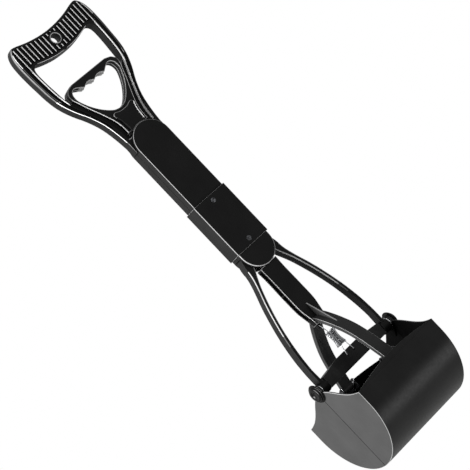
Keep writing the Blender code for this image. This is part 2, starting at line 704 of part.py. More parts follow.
def make_upper_block():
    front = FOLD_Y + UPPER_BLOCK_SETBACK
    wide = (-BLOCK_HALF_WIDTH, BLOCK_HALF_WIDTH)
    top_z = FOLD_Z + UPPER_BLOCK_LENGTH
    body = block("upper_hinge_block", wide, (front, BLOCK_HALF_DEPTH),
                 (FOLD_Z + BLOCK_SPLIT_GAP, top_z), BLACK_PLASTIC)
    pad = block("upper_block_pad", wide, (-BLOCK_HALF_DEPTH, front + SEAT_GAP),
                (FOLD_Z + UPPER_BLOCK_PAD_RISE, top_z))
    join(body, pad)
    for side in (-1, 1):
        join(body, knuckle(f"upper_knuckle_{side}", side,
                           (KNUCKLE_INNER_X, KNUCKLE_SPLIT_X - SEAT_GAP), KNUCKLE_RADIUS))
    cut(body, block("upper_channel", (-CHANNEL_HALF_WIDTH, CHANNEL_HALF_WIDTH),
                    (-COVER_HALF_DEPTH - OVERRUN, CHANNEL_BACK_Y),
                    (FOLD_Z - OVERRUN - KNUCKLE_RADIUS, top_z + OVERRUN)))
    for side in (-1, 1):
        cut(body, knuckle(f"upper_sweep_{side}", side,
                          (KNUCKLE_SPLIT_X, COVER_HALF_WIDTH + OVERRUN),
                          KNUCKLE_RADIUS + KNUCKLE_SWEEP_GAP))
        cut(body, knuckle(f"upper_pin_bore_{side}", side,
                          (CHANNEL_HALF_WIDTH - OVERRUN, COVER_HALF_WIDTH),
                          FOLD_PIN_RADIUS + SEAT_GAP))
        cut(body, screw_bore(f"upper_block_bore_{side}", side * UPPER_SCREW_X,
                             FOLD_Z + UPPER_SCREW_RISE))
    return body


def make_lower_block():
    outline = cover_loop(BLOCK_HALF_WIDTH, LOWER_ARC_Z, FOLD_Z - BLOCK_SPLIT_GAP)
    body = flat_solid("lower_hinge_block", [outline], "XZ", -BLOCK_HALF_DEPTH,
                      BLOCK_HALF_DEPTH, BLACK_PLASTIC)
    depth = FORK_HALF_DEPTH + SEAT_GAP
    reach = BLOCK_HALF_WIDTH + OVERRUN
    cut(body, block("lower_tunnel", (-reach, reach), (-depth, depth),
                    (LOWER_BLOCK_BOTTOM_Z - OVERRUN, TUNNEL_TOP_Z)))
    for side in (-1, 1):
        join(body, knuckle(f"lower_knuckle_{side}", side,
                           (KNUCKLE_SPLIT_X + SEAT_GAP, BLOCK_HALF_WIDTH - SEAT_GAP),
                           KNUCKLE_RADIUS))
    for side in (-1, 1):
        cut(body, knuckle(f"lower_sweep_{side}", side,
                          (CHANNEL_HALF_WIDTH - SEAT_GAP, KNUCKLE_SPLIT_X),
                          KNUCKLE_RADIUS + KNUCKLE_SWEEP_GAP))
        cut(body, knuckle(f"lower_pin_bore_{side}", side,
                          (KNUCKLE_SPLIT_X - OVERRUN, COVER_HALF_WIDTH),
                          FOLD_PIN_RADIUS + SEAT_GAP))
        cut(body, screw_bore(f"lower_block_bore_{side}", side * LOWER_SCREW_X,
                             LOWER_ARC_Z - LOWER_SCREW_DROP))
    cut(body, block("lower_channel", (-CHANNEL_HALF_WIDTH, CHANNEL_HALF_WIDTH),
                    (-COVER_HALF_DEPTH - OVERRUN, CHANNEL_BACK_Y),
                    (LOWER_BLOCK_BOTTOM_Z - OVERRUN - OVERRUN, FOLD_Z + OVERRUN)))
    return body


def make_fold_pin(name, side):
    start = KNUCKLE_INNER_X + PIN_END_INSET
    end = BLOCK_HALF_WIDTH - PIN_END_INSET
    return rod(name, (side * start, FOLD_Y, FOLD_Z), (side * end, FOLD_Y, FOLD_Z),
               FOLD_PIN_RADIUS, BRIGHT_STEEL)


# Pull bars
def make_strap(name, side, away, end_z):
    """A flat bar from the fold axis to end_z, with its eye on one side of the lap."""
    lap = side * STRAP_LAP_GAP / 2
    outside = side * STRAP_HALF_WIDTH
    low, high = FOLD_Z + away * STRAP_LAP_LOW, FOLD_Z + away * STRAP_LAP_HIGH
    loop = [(lap, FOLD_Z), (outside, FOLD_Z), (outside, end_z), (-outside, end_z),
            (-outside, high), (lap, low)]
    strap = flat_solid(name, [loop], "XZ", STRAP_FRONT_Y, STRAP_BACK_Y, BLACK_STEEL)
    join(strap, rod(name + "_eye", (lap, FOLD_Y, FOLD_Z), (outside, FOLD_Y, FOLD_Z),
                    STRAP_EYE_RADIUS))
    reach = STRAP_HALF_WIDTH + OVERRUN
    cut(strap, rod(name + "_bore", (-reach, FOLD_Y, FOLD_Z), (reach, FOLD_Y, FOLD_Z),
                   LINK_PIN_RADIUS + SEAT_GAP))
    return strap


def eye_pocket():
    """Room inside the upper front cover for the pull bars' eyes at full travel."""
    front = FOLD_Y - STRAP_EYE_RADIUS - SEAT_GAP
    top = FOLD_Z + TRAVEL + STRAP_EYE_RADIUS + RUNNING_GAP
    return block("eye_pocket", (-CHANNEL_HALF_WIDTH, CHANNEL_HALF_WIDTH), (front, 0),
                 (UPPER_COVER_BOTTOM_Z - OVERRUN, top))


def strap_pin_z(end_z, away):
    """Height of the pin that fastens a pull bar to what it pulls."""
    return end_z - away * STRAP_END_MARGIN


def strap_pin_bore(name, z):
    return rod(name, (0, -COVER_HALF_DEPTH, z), (0, STRAP_BACK_Y + STRAP_PIN_SINK
                                                 + SEAT_GAP, z),
               STRAP_PIN_RADIUS + SEAT_GAP)


def make_strap_pin(name, z):
    return rod(name, (0, STRAP_FRONT_Y + STRAP_PIN_INSET, z),
               (0, STRAP_BACK_Y + STRAP_PIN_SINK, z), STRAP_PIN_RADIUS, BRIGHT_STEEL)


# Trigger
def scallop_edge(bar_z):
    """The finger edge from the right tooth to the left, two hollows between three teeth."""
    points = []
    for hollow in (0, -1):
        for step in range(SCALLOP_STEPS):
            t = step / SCALLOP_STEPS
            x = SCALLOP_PITCH * (hollow + 1 - t)
            points.append((x, bar_z + SCALLOP_DEPTH * math.sin(math.pi * t)))
    points.append((-SCALLOP_PITCH, bar_z))
    return points


def make_trigger():
    """A loop as thick as the handle on a thinner shank that slides in the neck."""
    outer = smooth(scaled(TRIGGER_OUTER_SHARES, HANDLE_HALF_WIDTH, HANDLE_LENGTH, NECK_Z))
    side = smooth(scaled(TRIGGER_INNER_SHARES, HANDLE_HALF_WIDTH, HANDLE_LENGTH, NECK_Z))
    edge = scallop_edge(NECK_Z + TRIGGER_TOP_SHARE * HANDLE_LENGTH - TRIGGER_BAR_THICKNESS)
    loop = edge + [(-x, z) for x, z in side] + list(reversed(side[:-1]))
    trigger = flat_solid("trigger", [mirrored_loop(outer), loop], "XZ", -HANDLE_HALF_DEPTH,
                         HANDLE_HALF_DEPTH, BLACK_PLASTIC)
    join(trigger, block("shank", (-SHANK_HALF_WIDTH, SHANK_HALF_WIDTH),
                        (-TRIGGER_HALF_DEPTH, TRIGGER_HALF_DEPTH),
                        (SHANK_BOTTOM_Z, outer[-1][1] + OVERRUN)))
    join(trigger, block("shank_pad", (-SHANK_PAD_HALF_WIDTH, SHANK_PAD_HALF_WIDTH),
                        (STRAP_BACK_Y + SEAT_GAP, TRIGGER_HALF_DEPTH - SEAT_GAP),
                        (SHANK_BOTTOM_Z + SEAT_GAP, SHANK_PAD_TOP_Z)))
    return trigger


# Fork
def make_fork():
    wide = scaled(FORK_WIDE_SHARES, FORK_TOP_HALF_WIDTH, FORK_LENGTH, FORK_BOTTOM_Z)
    half = ([(FORK_TONGUE_HALF_WIDTH, TONGUE_TOP_Z),
             (FORK_TONGUE_HALF_WIDTH, FORK_TOP_Z)] + smooth(wide, 3)
            + [(FORK_ARM_HALF_WIDTH, FORK_BOTTOM_Z)])
    fork = flat_solid("pull_fork", [mirrored_loop(half)], "XZ", -FORK_HALF_DEPTH,
                      FORK_HALF_DEPTH, BLACK_PLASTIC)
    for side in (-1, 1):
        join(fork, fork_arm(side))
        join(fork, rod(f"fork_eye_{side}",
                       (-FORK_ARM_HALF_WIDTH, side * FORK_PIN_Y, FORK_PIN_Z),
                       (FORK_ARM_HALF_WIDTH, side * FORK_PIN_Y, FORK_PIN_Z),
                       FORK_EYE_RADIUS, steps=ROUND_STEPS))
    groove_x = FORK_TOP_HALF_WIDTH + OVERRUN
    groove_z = FORK_BOTTOM_Z + FORK_GROOVE_START
    for side in (-1, 1):
        cut(fork, block(f"fork_groove_{side}",
                        both_sides((FORK_GROOVE_FLOOR_X, groove_x), side),
                        (-FORK_GROOVE_HALF, FORK_GROOVE_HALF),
                        (groove_z, groove_z + FORK_GROOVE_LENGTH)))
        reach = FORK_ARM_HALF_WIDTH + OVERRUN
        cut(fork, rod(f"fork_pin_bore_{side}", (-reach, side * FORK_PIN_Y, FORK_PIN_Z),
                      (reach, side * FORK_PIN_Y, FORK_PIN_Z), FORK_PIN_RADIUS + SEAT_GAP))
    return fork


def fork_arm(side):
    """One arm, bent out from the crotch to its pin."""
    height = FORK_BOTTOM_Z - FORK_PIN_Z
    line = scaled(FORK_ARM_SHARES, side * FORK_PIN_Y, height, FORK_PIN_Z)
    line = smooth(line + [(side * FORK_PIN_Y, FORK_PIN_Z)], 3)
    left, right = [], []
    for index, (y, z) in enumerate(line):
        before = Vector(line[max(index - 1, 0)])
        after = Vector(line[min(index + 1, len(line) - 1)])
        along = (after - before).normalized() * FORK_ARM_THICKNESS / 2
        left.append((y - along.y, z + along.x))
        right.append((y + along.y, z - along.x))
    arm = flat_solid(f"fork_arm_{side}", [left + list(reversed(right))], "YZ",
                     -FORK_ARM_HALF_WIDTH + SEAT_GAP, FORK_ARM_HALF_WIDTH - SEAT_GAP)
    return arm


def make_fork_pin(name, side):
    end = BRACKET_EAR_OUT_X + FORK_PIN_OVERHANG
    return rod(name, (-end, side * FORK_PIN_Y, FORK_PIN_Z), (end, side * FORK_PIN_Y, FORK_PIN_Z),
               FORK_PIN_RADIUS, BRIGHT_STEEL)


# Springs
def spring_points(x):
    """One wire: hook in the cross bar, leg, close coil and straight upper leg."""
    leg_y = -BAR_HALF_THICKNESS - SEAT_GAP - SPRING_WIRE_RADIUS
    turn = SPRING_COIL_RADIUS
    start_deg = math.degrees(math.asin(leg_y / turn)) if abs(leg_y) < turn else -90.0
    start_angle = math.radians(start_deg)
    coil_bottom = SPRING_HOLE_Z + SPRING_LOWER_LEG
    points = [(x, BAR_HALF_THICKNESS - SEAT_GAP, SPRING_HOLE_Z),
              (x, leg_y + SPRING_BEND, SPRING_HOLE_Z),
              (x, leg_y, SPRING_HOLE_Z + SPRING_BEND)]
    points.append((x, leg_y, coil_bottom - SPRING_BEND))
    count = SPRING_CURLS * SPRING_CURL_POINTS
    for index in range(count + 1):
        angle = start_angle + 2 * math.pi * index / SPRING_CURL_POINTS
        ease = min(1.0, index / SPRING_CURL_POINTS, (count - index) / SPRING_CURL_POINTS)
        radius_x = turn * ease
        points.append((x + radius_x * math.cos(angle),
                       leg_y * (1 - ease) + turn * math.sin(angle) * ease,
                       coil_bottom + SPRING_PITCH * index / SPRING_CURL_POINTS))
    top = coil_bottom + SPRING_PITCH * SPRING_CURLS
    points.append((x, leg_y, top + SPRING_BEND))
    points.append((x, leg_y, FORK_BOTTOM_Z - SEAT_GAP))
    return points


def least_gap(points, skip):
    """Least distance between the wire's surface and itself, away from neighbours."""
    best = math.inf
    for index, first in enumerate(points):
        for second in points[index + skip:]:
            best = min(best, math.dist(first, second))
    return best - 2 * SPRING_WIRE_RADIUS


def make_spring(name, x):
    points = spring_points(x)
    print(name, "least gap to itself, m:",
          round(least_gap(points, SPRING_CURL_POINTS // 2 + 1), 5))
    curve = bpy.data.curves.new(name, "CURVE")
    curve.dimensions = "3D"
    curve.render_resolution_u = 0
    curve.bevel_depth = SPRING_WIRE_RADIUS
    curve.bevel_resolution = 1
    curve.use_fill_caps = True
    spline = curve.splines.new("POLY")
    spline.points.add(len(points) - 1)
    for target, point in zip(spline.points, points):
        target.co = (*point, 1)
    guide = bpy.data.objects.new(name + "_wire", curve)
    CUTTERS.objects.link(guide)
    evaluated = guide.evaluated_get(bpy.context.evaluated_depsgraph_get())
    mesh = bpy.data.meshes.new_from_object(evaluated)
    bpy.data.objects.remove(guide, do_unlink=True)
    weld_mesh(mesh)
    return add_object(name, mesh, BRIGHT_STEEL)


# Side arms, cross bar and pivot hardware
def make_side_arm(name, side):
    span = ARM_OUTER_X - COVER_HALF_WIDTH

    def placed(shares):
        return [(COVER_HALF_WIDTH + across * span, PIVOT_Z + up * YOKE_LENGTH)
                for across, up in shares]

    root_bottom = ARM_ROOT_TOP_Z - ARM_ROOT_LENGTH
    root_outer = COVER_INNER_HALF - SEAT_GAP
    shoulder = LOWER_ARC_Z - SEAT_GAP
    outer = smooth([(COVER_HALF_WIDTH, shoulder)] + placed(ARM_OUTER_SHARES)
                   + [(ARM_OUTER_X, PIVOT_Z)])
    inner = smooth([(ARM_END_INNER_X, PIVOT_Z)] + placed(ARM_INNER_SHARES)
                   + [(ARM_ROOT_INNER_X, root_bottom)])
    loop = [(ARM_ROOT_INNER_X, ARM_ROOT_TOP_Z), (root_outer, ARM_ROOT_TOP_Z),
            (root_outer, shoulder)] + outer + inner
    arm = flat_solid(name, [[(side * x, z) for x, z in loop]], "XZ", -ARM_HALF_DEPTH,
                     ARM_HALF_DEPTH, BLACK_PLASTIC)
    join(arm, rod(name + "_eye", (side * ARM_END_INNER_X, 0, PIVOT_Z),
                  (side * ARM_OUTER_X, 0, PIVOT_Z), ARM_EYE_RADIUS, steps=ROUND_STEPS))
    cut(arm, rod(name + "_bore", (side * (ARM_END_INNER_X - OVERRUN), 0, PIVOT_Z),
                 (side * (ARM_OUTER_X + OVERRUN), 0, PIVOT_Z), BOLT_BORE))
    cut(arm, screw_bore(name + "_screw_bore", side * LOWER_SCREW_X,
                        LOWER_ARC_Z - LOWER_SCREW_DROP))
    return arm


def make_cross_bar():
    low = PIVOT_Z - BAR_BELOW_PIVOT
    end = PIVOT_Z + BAR_END_RISE
    top = PIVOT_Z + BAR_MID_RISE
    strap_end = BAR_END_X - SEAT_GAP
    half = [(BAR_TOP_SHARE * BAR_END_X, top),
            (BAR_SHOULDER_SHARE * BAR_END_X, (top + end) / 2), (strap_end, end),
            (strap_end, low)]
    bar = flat_solid("cross_bar", [mirrored_loop(half)], "XZ", -BAR_HALF_THICKNESS,
                     BAR_HALF_THICKNESS, BLACK_PLASTIC)
    for side in (-1, 1):
        join(bar, rod(f"bar_boss_{side}", (side * BOSS_IN_X, 0, PIVOT_Z),
                      (side * BAR_END_X, 0, PIVOT_Z), BOSS_RADIUS, steps=ROUND_STEPS))
        cut(bar, rod(f"bar_bore_{side}", (side * (BOSS_IN_X - OVERRUN / 2), 0, PIVOT_Z),
                     (side * (BAR_END_X + OVERRUN), 0, PIVOT_Z), BOLT_BORE))
        cut(bar, rod(f"nut_pocket_{side}",
                     (side * (NUT_IN_X - BOLT_TIP - SEAT_GAP), 0, PIVOT_Z),
                     (side * (BOSS_IN_X - SEAT_GAP / 2), 0, PIVOT_Z),
                     NUT_RADIUS + SEAT_GAP, steps=ROUND_STEPS))
        reach = BAR_HALF_THICKNESS + OVERRUN
        cut(bar, rod(f"spring_hole_{side}", (side * SPRING_X, -reach, SPRING_HOLE_Z),
                     (side * SPRING_X, reach, SPRING_HOLE_Z), SPRING_HOLE_RADIUS))
    return bar


def make_pivot_bolt(name, side):
    """A bolt with a stepped round knob outside and a shank to the nut."""
    crown = KNOB_IN_X + KNOB_THICKNESS
    step = crown - KNOB_STEP
    tip = NUT_IN_X - BOLT_TIP
    profile = [(0, crown), (KNOB_CAP_RADIUS, crown), (KNOB_CAP_RADIUS + KNOB_STEP / 2, step),
               (KNOB_RADIUS - KNOB_STEP / 2, step), (KNOB_RADIUS, step - KNOB_STEP / 2),
               (KNOB_RADIUS, KNOB_IN_X), (BOLT_RADIUS, KNOB_IN_X), (BOLT_RADIUS, tip),
               (0, tip)]
    return turned(name, profile, (0, 0, PIVOT_Z), (side, 0, 0), BLACK_STEEL, ROUND_STEPS)


def make_ring(name, side, outline, x_range, look):
    """A flat ring about the pivot axis, with the bolt's bore."""
    low, high = both_sides(x_range, side)
    return flat_solid(name, [outline, circle((0, PIVOT_Z), BOLT_BORE)], "YZ", low, high, look)


# Jaws
def jaw_arc(side, radius, start_deg):
    """The shell's round side from near the seam to level with the arc's centre."""
    points = []
    for step in range(ROUND_STEPS + 1):
        turn = math.radians(start_deg + (90 - start_deg) * step / ROUND_STEPS)
        points.append((side * radius * math.sin(turn), JAW_RADIUS - radius * math.cos(turn)))
    return points


def top_edge(side, end):
    """The end plate's hollow top edge from its corner to the pivot."""
    corner = Vector((side * JAW_RADIUS, JAW_CORNER_Z))
    end = Vector(end)
    along = (end - corner).normalized()
    down = Vector((along.y, -along.x)) * (1 if side < 0 else -1)
    points = []
    for step in range(1, ARC_STEPS // 2):
        t = 2 * step / ARC_STEPS
        sag = JAW_SCALLOP_SAG * 4 * t * (1 - t)
        points.append(tuple(corner.lerp(end, t) + down * sag))
    return points


def jaw_outline(side, with_ear):
    """The end plate: seam, round side, corner, hollow top edge and, on the front jaw, an ear."""
    seam_y = side * JAW_SEAM_GAP / 2
    start_deg = math.degrees(math.asin(JAW_SEAM_GAP / 2 / JAW_RADIUS))
    loop = jaw_arc(side, JAW_RADIUS, start_deg)
    loop.append((side * JAW_RADIUS, JAW_CORNER_Z))
    angle = math.radians(EAR_START_DEG)
    meet = (-side * EAR_RADIUS * math.cos(angle), PIVOT_Z + EAR_RADIUS * math.sin(angle))
    loop += top_edge(side, meet)
    if with_ear:
        below_deg = math.degrees(math.acos(JAW_SEAM_GAP / 2 / EAR_RADIUS))
        ear = arc((0, PIVOT_Z), EAR_RADIUS, EAR_START_DEG, below_deg - 180, ROUND_STEPS)
        loop += [(-side * y, z) for y, z in ear]
    else:
        loop += [meet, (seam_y, PIVOT_Z)]
    return loop


def jaw_cavity(side):
    """Everything inside the shell, out past the seam and up past the top edge."""
    loop = jaw_arc(side, JAW_RADIUS - JAW_WALL, 0)
    high = PIVOT_Z + EAR_RADIUS + OVERRUN
    beyond = -side * (EAR_RADIUS + OVERRUN)
    loop += [(side * (JAW_RADIUS - JAW_WALL), high), (beyond, high), (beyond, JAW_WALL)]
    return loop


def make_jaw(name, side):
    jaw = flat_solid(name, [jaw_outline(side, side < 0)], "YZ", -JAW_HALF_WIDTH,
                     JAW_HALF_WIDTH, GREY_PLASTIC)
    cut(jaw, flat_solid(name + "_cavity", [jaw_cavity(side)], "YZ", -OUTER_PLATE_IN_X,
                        OUTER_PLATE_IN_X))
    join(jaw, jaw_arch(name, side))
    if side > 0:
        for end in (-1, 1):
            cut(jaw, rod(f"{name}_relief_{end}",
                         (end * (OUTER_PLATE_IN_X - OVERRUN), 0, PIVOT_Z),
                         (end * (JAW_HALF_WIDTH + OVERRUN), 0, PIVOT_Z),
                         EAR_RADIUS + RUNNING_GAP, steps=ROUND_STEPS))
            join(jaw, rear_ear(name, end))
            join(jaw, rear_ear_pad(name, end))
    for end in (-1, 1):
        cut(jaw, rod(f"{name}_bore_{end}", (end * (INNER_PLATE_IN_X - OVERRUN), 0, PIVOT_Z),
                     (end * (JAW_HALF_WIDTH + OVERRUN), 0, PIVOT_Z), BOLT_BORE))
        cut(jaw, rod(f"{name}_rivet_bore_{end}", rivet_point(side, end, JAW_RADIUS - JAW_WALL
                                                             + RIVET_SINK + SEAT_GAP),
                     rivet_point(side, end, JAW_RADIUS - JAW_WALL - OVERRUN),
                     RIVET_SHANK_RADIUS + SEAT_GAP))
    return jaw


def jaw_arch(name, side):
    """The middle of the shell's top edge rises in a low arch."""
    half = OUTER_PLATE_IN_X + JAW_PLATE / 2
    root = JAW_CORNER_Z - JAW_ARCH_ROOT
    loop = [(half, root), (-half, root)]
    for step in range(ARC_STEPS + 1):
        x = half * (2 * step / ARC_STEPS - 1)
        loop.append((x, JAW_CORNER_Z - JAW_ARCH_INSET
                     + JAW_ARCH_RISE * math.cos(math.pi * x / half / 2)))
    low, high = both_sides((JAW_RADIUS - JAW_WALL + JAW_ARCH_INSET,
                            JAW_RADIUS - JAW_ARCH_INSET), side)
    return flat_solid(name + "_arch", [loop], "XZ", low, high)


def ear_turn(reach):
    """A point below and behind the pivot, along the rear ear's arm."""
    angle = math.radians(REAR_EAR_TURN_DEG)
    return (reach * math.cos(angle), PIVOT_Z - reach * math.sin(angle))


def rear_ear(name, end):
    """The rear jaw's ear lies inside the front jaw's, on an arm that runs under the plate."""
    start = -REAR_EAR_TURN_DEG
    loop = arc((0, PIVOT_Z), EAR_RADIUS, start + 90, start + 270, ARC_STEPS)
    loop += arc(ear_turn(REAR_EAR_REACH), REAR_EAR_PAD_RADIUS, start - 90, start + 90,
                ARC_STEPS)
    low, high = both_sides((INNER_PLATE_IN_X, INNER_PLATE_OUT_X), end)
    return flat_solid(f"{name}_ear_{end}", [loop], "YZ", low, high)


def rear_ear_pad(name, end):
    """Joins the ear's arm to the end plate outside the front ear's circle."""
    y, z = ear_turn(REAR_EAR_REACH)
    return rod(f"{name}_pad_{end}", (end * (INNER_PLATE_OUT_X - REAR_EAR_PAD_SINK), y, z),
               (end * (OUTER_PLATE_IN_X + REAR_EAR_PAD_SINK), y, z),
               REAR_EAR_PAD_RADIUS - SEAT_GAP)


def rivet_point(side, end, depth):
    z = FORK_PIN_Z - BRACKET_BELOW_PIN + RIVET_RISE_SHARE * BRACKET_HEIGHT
    return (end * RIVET_X, side * depth, z)


def make_bracket(name, side):
    """A plate on the shell's inner wall with two slotted ears for the fork pin."""
    back = JAW_RADIUS - JAW_WALL - SEAT_GAP
    front = back - BRACKET_THICKNESS
    bottom = FORK_PIN_Z - BRACKET_BELOW_PIN
    plate = block(name, (-BRACKET_HALF_WIDTH, BRACKET_HALF_WIDTH),
                  both_sides((front, back), side), (bottom, bottom + BRACKET_HEIGHT),
                  BLACK_STEEL)
    pin = Vector((FORK_PIN_Y, -FORK_PIN_BELOW_PIVOT))
    inward = -pin.normalized()
    slot_half = FORK_PIN_RADIUS + SLOT_PLAY
    start = (side * pin.x, PIVOT_Z + pin.y)
    end_point = pin + inward * SLOT_LENGTH
    end = (side * end_point.x, PIVOT_Z + end_point.y)
    slot_deg = math.degrees(math.atan2(end[1] - start[1], end[0] - start[0]))
    outer = slot_half + BRACKET_EAR_WALL
    slot = (arc(end, slot_half, slot_deg - 90, slot_deg + 90, ARC_STEPS // 2)
            + arc(start, slot_half, slot_deg + 90, slot_deg + 270, ARC_STEPS // 2))
    turn = 1 if side > 0 else -1
    first = arc(end, outer, slot_deg - 90 * turn, slot_deg + 90 * turn, ARC_STEPS // 2)
    root_y = side * (back - SEAT_GAP)
    rim = first + [(root_y, bottom + SEAT_GAP), (root_y, bottom + BRACKET_HEIGHT - SEAT_GAP)]
    for sign in (-1, 1):
        low, high = both_sides((BRACKET_EAR_IN_X, BRACKET_EAR_OUT_X), sign)
        join(plate, flat_solid(f"{name}_ear_{sign}", [rim, slot], "YZ", low, high))
        cut(plate, rod(f"{name}_bore_{sign}", rivet_point(side, sign, back + OVERRUN),
                       rivet_point(side, sign, front - OVERRUN),
                       RIVET_SHANK_RADIUS + SEAT_GAP))
    return plate


def make_bracket_rivet(name, side, end):
    face = JAW_RADIUS - JAW_WALL - SEAT_GAP - BRACKET_THICKNESS - SEAT_GAP
    tip = JAW_RADIUS - JAW_WALL + RIVET_SINK
    crown = face - RIVET_HEAD_HEIGHT
    place = rivet_point(side, end, 0)
    profile = [(0, -crown), (RIVET_HEAD_RADIUS * RIVET_CROWN_SHARE, -crown), (RIVET_HEAD_RADIUS, -face),
               (RIVET_SHANK_RADIUS, -face), (RIVET_SHANK_RADIUS, -tip), (0, -tip)]
    return turned(name, profile, place, (0, -side, 0), BRIGHT_STEEL)


# Assembly
def hang(body_name, axis_point, objects):
    """Parent objects to an empty on their joint's axis and give them its origin."""
    empty = bpy.data.objects.new(body_name + "_axis", None)
    empty.empty_display_size = KNOB_RADIUS
    empty.location = axis_point
    PARTS.objects.link(empty)
    bpy.context.view_layer.update()
    for obj in objects:
        if obj.location.length == 0:
            obj.data.transform(Matrix.Translation(-Vector(axis_point)))
            obj.location = axis_point
        bpy.context.view_layer.update()
        obj.parent = empty
        obj.matrix_parent_inverse = empty.matrix_world.inverted()
    return empty


def build():
    upper_screws = [(side * UPPER_SCREW_X, z) for z in (NECK_Z - NECK_SCREW_DROP,
                                                        FOLD_Z + UPPER_SCREW_RISE)
                    for side in (-1, 1)]
    lower_screws = [(side * LOWER_SCREW_X, LOWER_ARC_Z - LOWER_SCREW_DROP)
                    for side in (-1, 1)]
    handle = [make_handle_frame(), make_eyelet(),
              make_neck_plate("neck_plate_front", -1), make_neck_plate("neck_plate_rear", 1),
              make_cover("upper_cover_front", -1, NECK_Z, UPPER_COVER_BOTTOM_Z, upper_screws),
              make_cover("upper_cover_rear", 1, NECK_Z, UPPER_COVER_BOTTOM_Z, upper_screws),
              make_upper_block()]
    cut(handle[4], eye_pocket())
    for index, (x, z) in enumerate(upper_screws):
        handle.append(make_screw(f"upper_screw_{index + 1}", x, z))

    strap = make_strap("upper_pull_bar", 1, 1, SHANK_PAD_TOP_Z)
    trigger = make_trigger()
    pin_z = strap_pin_z(SHANK_PAD_TOP_Z, 1)
    cut(strap, strap_pin_bore("trigger_pin_bore", pin_z))
    cut(trigger, strap_pin_bore("shank_pin_bore", pin_z))
    link_end = CHANNEL_HALF_WIDTH - PIN_END_INSET
    link_pin = rod("pull_link_pin", (-link_end, FOLD_Y, FOLD_Z), (link_end, FOLD_Y, FOLD_Z),
                   LINK_PIN_RADIUS, BRIGHT_STEEL)
    trigger_group = [trigger, strap, make_strap_pin("trigger_rivet", pin_z), link_pin]

    lower = [make_lower_block(),
             make_cover("lower_cover_front", -1, LOWER_ARC_Z, LOWER_COVER_TOP_Z,
                        lower_screws),
             make_cover("lower_cover_rear", 1, LOWER_ARC_Z, LOWER_COVER_TOP_Z, lower_screws),
             make_cross_bar()]
    for index, (x, z) in enumerate(lower_screws):
        lower.append(make_screw(f"lower_screw_{index + 1}", x, z))
    for name, side in (("left", -1), ("right", 1)):
        lower.append(make_fold_pin(f"fold_pin_{name}", side))
        lower.append(make_side_arm(f"{name}_arm", side))
        lower.append(make_pivot_bolt(f"{name}_pivot_bolt", side))
        lower.append(make_ring(f"{name}_pivot_washer", side,
                               circle((0, PIVOT_Z), WASHER_RADIUS),
                               (WASHER_IN_X, WASHER_OUT_X), BRIGHT_STEEL))
        lower.append(make_ring(f"{name}_pivot_nut", side,
                               circle((0, PIVOT_Z), NUT_RADIUS, 6),
                               (NUT_IN_X, NUT_OUT_X), BRIGHT_STEEL))

    fork = make_fork()
    strap_end = LOWER_ARC_Z + RUNNING_GAP - math.sqrt(COVER_INNER_HALF ** 2
                                                      - STRAP_HALF_WIDTH ** 2)
    lower_strap = make_strap("lower_pull_bar", -1, -1, strap_end)
    fork_pin_z = strap_pin_z(FORK_TOP_Z, -1)
    cut(fork, strap_pin_bore("tongue_pin_bore", fork_pin_z))
    cut(lower_strap, strap_pin_bore("lower_strap_bore", fork_pin_z))
    fork_group = [fork, lower_strap, make_strap_pin("fork_rivet", fork_pin_z),
                  make_fork_pin("front_fork_pin", -1), make_fork_pin("rear_fork_pin", 1),
                  make_spring("left_spring", -SPRING_X), make_spring("right_spring", SPRING_X)]

    jaws = {}
    for name, side in (("front", -1), ("rear", 1)):
        jaws[name] = [make_jaw(f"{name}_jaw", side), make_bracket(f"{name}_bracket", side)]
        for label, end in (("left", -1), ("right", 1)):
            jaws[name].append(make_bracket_rivet(f"{name}_rivet_{label}", side, end))

    pivot = (0, 0, PIVOT_Z)
    hang("handle", (0, 0, NECK_Z), handle)
    hang("trigger", (0, 0, NECK_Z), trigger_group)
    hang("collar", (0, 0, COLLAR_BOTTOM_Z), make_collar())
    hang("lower_frame", (0, FOLD_Y, FOLD_Z), lower)
    hang("fork", (0, 0, FORK_BOTTOM_Z), fork_group)
    hang("front_jaw", pivot, jaws["front"])
    hang("rear_jaw", pivot, jaws["rear"])


build()
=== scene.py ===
"""The folding pooper scooper dressed for its photograph.

Satin black mouldings with rubbed edges, painted highlights on edges and crests and painted shade
in hollows, dark grey jaws, plated springs and fasteners.
Outlines are in millimetres, in the same frame as the solids: +Z up the shaft, -Y the front.
"""

import math

import bpy
from mathutils import Matrix, Vector


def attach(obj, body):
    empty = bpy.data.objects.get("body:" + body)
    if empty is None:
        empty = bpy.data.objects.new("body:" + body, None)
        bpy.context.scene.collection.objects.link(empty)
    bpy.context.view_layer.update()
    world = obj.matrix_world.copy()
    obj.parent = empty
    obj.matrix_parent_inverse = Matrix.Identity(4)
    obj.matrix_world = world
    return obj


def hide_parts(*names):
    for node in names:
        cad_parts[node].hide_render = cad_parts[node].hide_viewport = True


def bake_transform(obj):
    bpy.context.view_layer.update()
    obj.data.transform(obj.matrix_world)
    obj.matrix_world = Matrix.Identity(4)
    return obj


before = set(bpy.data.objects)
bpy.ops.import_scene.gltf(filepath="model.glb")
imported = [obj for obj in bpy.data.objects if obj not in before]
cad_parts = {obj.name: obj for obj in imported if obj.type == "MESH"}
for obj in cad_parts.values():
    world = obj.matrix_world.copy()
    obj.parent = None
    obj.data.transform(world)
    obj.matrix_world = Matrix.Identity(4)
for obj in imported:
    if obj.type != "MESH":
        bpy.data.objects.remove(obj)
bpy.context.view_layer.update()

MM = 0.001
WELD = 0.00002
TURN = 2 * math.pi


# Bench helpers
def clear_bench():
    """Back to object mode with nothing selected."""
    if bpy.context.object and bpy.context.object.mode != "OBJECT":
        bpy.ops.object.mode_set(mode="OBJECT")
    bpy.ops.object.select_all(action="DESELECT")


def take_up(piece):
    """Make one piece the selected and active one."""
    clear_bench()
    piece.select_set(True)
    bpy.context.view_layer.objects.active = piece


